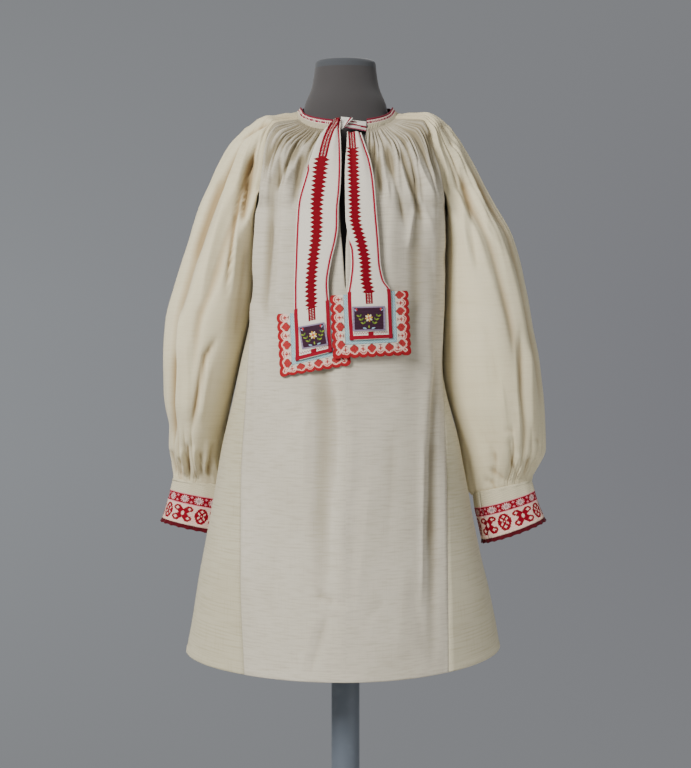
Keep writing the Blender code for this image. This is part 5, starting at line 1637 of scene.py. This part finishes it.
def make_stand(material):
    turned_piece("base_plate", BASE_RADIUS, 0.0, BASE_HEIGHT, 2.5, material, ["stand_base"])
    turned_piece("steel_pole", POLE_RADIUS, BASE_HEIGHT, POLE_TOP, 0.6, material, ["stand_pole"])
    turned_piece("pole_foot", POLE_RADIUS + 9.0, BASE_HEIGHT, BASE_HEIGHT + 16.0, 2.0, material, [])
    turned_piece("pole_collar", POLE_RADIUS + 5.0, POLE_TOP - 34.0, POLE_TOP - 8.0, 1.5, material, [])


def make_petal(work, layer, colour, centre, angle, long, wide, lift):
    """A satin-stitched petal: a low dome with a point at each end."""
    shape = [(0.0, 0.0), (0.3, 0.5), (0.7, 0.42), (1.0, 0.0), (0.7, -0.42), (0.3, -0.5)]
    turned = [turn_about(centre, angle, along * long, aside * wide) for along, aside in shape]
    ring = [work.verts.new(patch_place(x, z, lift)) for x, z in turned]
    under = [work.verts.new(patch_place(x, z, lift - 0.5)) for x, z in turned]
    top = work.verts.new(patch_place(*turn_about(centre, angle, 0.5 * long, 0.0), lift + 0.55))
    for i in range(6):
        after = (i + 1) % 6
        for verts in ((ring[i], ring[after], top), (under[i], under[after], ring[after], ring[i])):
            face = work.faces.new(verts)
            for loop in face.loops:
                loop[layer] = (*colour, 1.0)


def patch_place(x, z, lift):
    """A point in metres, lift millimetres out from the blouse's front."""
    return (x * MM, (float(front_depth(np.array([x]), np.array([z]))[0]) - lift) * MM, z * MM)


# The embroidered patch on each tie: its corners' middle in x and z, half its width and height and its
# turn in degrees; and the flower that fills it, as petals: x, z, angle, length, width and colour.
PATCHES = {
    "left": (-54.8, 1038.4, 22.6, 19.4, 10.0),
    "right": (39.6, 1067.3, 27.8, 20.8, 1.5),
}
GREEN = linear("#7d8f2c")
YELLOW = linear("#d0a53a")
ROSE = linear("#b8303c")
SKY = linear("#8fb2c4")


def flower_petals(half_wide, half_tall):
    """A rosette between two leafy sprays with buds, as rows of x, z, angle, length, width, colour."""
    rows = []
    for k in range(8):
        rows.append((0.0, 1.0, k * 45 + 10, 7.2, 3.4, YELLOW if k % 2 == 0 else linear("#e2d6b0")))
    for k in range(5):
        rows.append((0.0, 1.0, k * 72, 3.0, 2.2, ROSE))
    for way in (-1, 1):
        for k in range(3):
            x = way * (8.5 + 3.4 * k)
            z = -9.0 + 6.0 * k
            rows.append((x, z, 90 - way * 62, 6.6, 2.8, GREEN))
            rows.append((x, z, 90 + way * 30, 5.6, 2.4, linear("#5f7a2a")))
        rows.append((way * (half_wide - 7.0), half_tall - 8.0, 90, 5.4, 3.6, ROSE))
        rows.append((way * (half_wide - 7.0), half_tall - 8.0, 90 - way * 45, 4.6, 2.4, SKY))
        rows.append((way * 4.0, -half_tall + 3.6, 90 - way * 75, 7.0, 2.6, SKY))
    rows.append((0.0, -half_tall + 4.0, 90, 6.0, 2.6, GREEN))
    return rows


def make_patch(side, material):
    """A small dark patch with a raised woven border and a satin-stitched flower."""
    x_middle, z_middle, half_wide, half_tall, turn = PATCHES[side]
    middle = (x_middle, z_middle)
    tilt = math.radians(turn)
    lift = TIE_LIFTS[side] + 1.4
    work = bmesh.new()
    layer = work.loops.layers.float_color.new("stitch")
    steps = 14
    for level, outer, colour in ((lift + 0.2, 1.0, LILAC), (lift + 0.7, 0.88, PURPLE)):
        grid = []
        for j in range(steps + 1):
            line = []
            for i in range(steps + 1):
                aside = (2 * i / steps - 1) * half_wide * outer
                up = (2 * j / steps - 1) * half_tall * outer
                line.append(work.verts.new(patch_place(*turn_about(middle, tilt, aside, up), level)))
            grid.append(line)
        for j in range(steps):
            for i in range(steps):
                face = work.faces.new((grid[j][i], grid[j][i + 1], grid[j + 1][i + 1], grid[j + 1][i]))
                tone = 1.0 + 0.12 * math.sin(i * 12.9898 + j * 78.233)
                for loop in face.loops:
                    loop[layer] = (*[value * tone for value in colour], 1.0)
    for x, z, angle, long, wide, colour in flower_petals(half_wide, half_tall):
        centre = turn_about(middle, tilt, x, z)
        make_petal(work, layer, colour, centre, math.radians(angle) + tilt, long, wide, lift + 1.2)
    mesh = bpy.data.meshes.new("tie_patch_" + side)
    work.to_mesh(mesh)
    work.free()
    uv = mesh.uv_layers.new(name="cloth")
    for loop in mesh.loops:
        place = mesh.vertices[loop.vertex_index].co
        uv.data[loop.index].uv = (place.x, place.z)
    turn_outwards(mesh, FRONTWARD)
    return link_piece("tie_patch_" + side, mesh, material, [])


def make_camera():
    camera = bpy.data.cameras.new("camera")
    camera.lens = LENS
    camera.sensor_width = 36.0
    camera.sensor_fit = "AUTO"
    camera.clip_end = 60.0
    obj = bpy.data.objects.new("camera", camera)
    obj.location = (0.0, -EYE_DISTANCE * MM, EYE_HEIGHT * MM)
    obj.rotation_euler = (math.radians(90), 0.0, 0.0)
    bpy.context.scene.collection.objects.link(obj)
    bpy.context.scene.camera = obj


def make_lights():
    """A large soft light from the upper left, weaker ones from the right and from behind, and a
    grey surround that is lightest beside the part on the left."""
    for name, place, size, power in (
        ("key", (-2.3, -3.0, 3.1), 1.6, 270.0),
        ("fill", (2.8, -2.6, 1.5), 2.6, 36.0),
        ("back", (0.6, 2.8, 2.9), 2.2, 30.0),
    ):
        light = bpy.data.lights.new(name, "AREA")
        light.shape = "SQUARE"
        light.size = size
        light.energy = power
        obj = bpy.data.objects.new(name, light)
        obj.location = place
        way = np.array([0.0, 0.0, 1.0]) - np.array(place)
        flat = math.hypot(way[0], way[1])
        obj.rotation_euler = (math.atan2(flat, -way[2]), 0.0, math.atan2(-way[0], way[1]))
        bpy.context.scene.collection.objects.link(obj)
    world = bpy.context.scene.world or bpy.data.worlds.new("world")
    bpy.context.scene.world = world
    world.use_nodes = True
    tree = world.node_tree
    background = tree.nodes["Background"]
    place = node(tree, "ShaderNodeTexCoord")
    parts = node(tree, "ShaderNodeSeparateXYZ", {0: place.outputs["Generated"]})
    across = node(tree, "ShaderNodeMapRange", {0: parts.outputs[0], 1: -0.13, 2: 0.13}, clamp=True)
    height = node(tree, "ShaderNodeMath", {0: parts.outputs[2]}, operation="ABSOLUTE")
    outer = node(tree, "ShaderNodeMapRange", {0: height.outputs[0], 1: 0.03, 2: 0.15, 4: 0.7}, clamp=True)
    inputs = {0: across.outputs[0], 6: BACKDROP_LIGHT, 7: BACKDROP_DARK}
    middle = node(tree, "ShaderNodeMix", inputs, data_type="RGBA")
    inputs = {0: outer.outputs[0], 6: middle.outputs[2], 7: BACKDROP}
    colour = node(tree, "ShaderNodeMix", inputs, data_type="RGBA")
    tree.links.new(colour.outputs[2], background.inputs["Color"])


def make_floor():
    bpy.ops.object.select_all(action="DESELECT")
    bpy.ops.mesh.primitive_circle_add(vertices=96, radius=1.6, fill_type="NGON", location=(0, 0, 0))
    floor = bpy.context.active_object
    floor.name = "floor"
    material, tree, shader = new_material("pale_floor", 0.8)
    place = node(tree, "ShaderNodeTexCoord")
    grain = node(tree, "ShaderNodeTexNoise", {"Vector": place.outputs["Object"], "Scale": 6.0, "Detail": 4.0})
    colour = node(tree, "ShaderNodeMix", {0: grain.outputs[0], 6: FLOOR, 7: "#d2d2d0"}, data_type="RGBA")
    tree.links.new(colour.outputs[2], shader.inputs["Base Color"])
    floor.data.materials.append(material)


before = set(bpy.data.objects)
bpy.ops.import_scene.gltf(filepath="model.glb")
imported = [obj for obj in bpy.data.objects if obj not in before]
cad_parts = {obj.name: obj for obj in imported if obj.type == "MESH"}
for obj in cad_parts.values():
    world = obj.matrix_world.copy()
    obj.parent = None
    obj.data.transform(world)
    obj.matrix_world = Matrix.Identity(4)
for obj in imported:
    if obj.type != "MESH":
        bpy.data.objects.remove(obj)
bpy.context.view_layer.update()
make_camera()
make_lights()
make_floor()

linen = woven_cloth("plain_woven_linen", "#d4ccb9", "#bdb4a0", "#7f7254", 0.0016, 0.42, 0.8)
# Painted shade: the gores are the same linen as the panels, coloured a little darker and yellower for the
# shade at the sides, under the sleeves.
shaded_gore_linen = woven_cloth("side_linen", "#cdc5ac", "#b9b091", "#7f7254", 0.0016, 0.42, 0.8)
cotton = woven_cloth("cream_cotton", "#e3d8b8", "#d4c8a3", "#8f7040", 0.0012, 0.22, 0.4)
cross_stitch = stitched_cloth("cross_stitched_linen", STITCH * MM, 0.0005)
woven_band = tie_cloth()
wrap_band = stitched_cloth("folded_cotton_band", 0.0011, 0.0003)
red_wool = woven_cloth("crocheted_red_edge", "#5e0716", "#45040f", "#2c0309", 0.0013, 0.3, 0.9)
bobbin_lace = stitched_cloth("bobbin_lace", 0.0008, 0.0004)
blue_braid = stitched_cloth("light_blue_braid", 0.0008, 0.0004)
collar_stitch = stitched_cloth("stitched_neck_band", 0.0012, 0.0003)
silk = stitched_cloth("satin_stitch", 0.0007, 0.0003, 0.55)

front = make_panel("front_panel", "body_front", FRONT, linen, 196)
back = make_panel("back_panel", "body_back", BACK, linen, 120)
form = make_form(form_cloth())
for side in SIDES:
    gore = make_gore(side, shaded_gore_linen)
    sleeve = make_sleeve(side, cotton)
    cuff, trim = make_cuff(side, cross_stitch, red_wool)
    tie = make_tie(side, woven_band)
    patch = make_patch(side, silk)
    braid, lace = make_border(side, blue_braid, bobbin_lace)
neck = make_neck_band(collar_stitch)
crossband = make_crossband(wrap_band)
knot = make_knot(wrap_band)
make_stand(painted_steel())
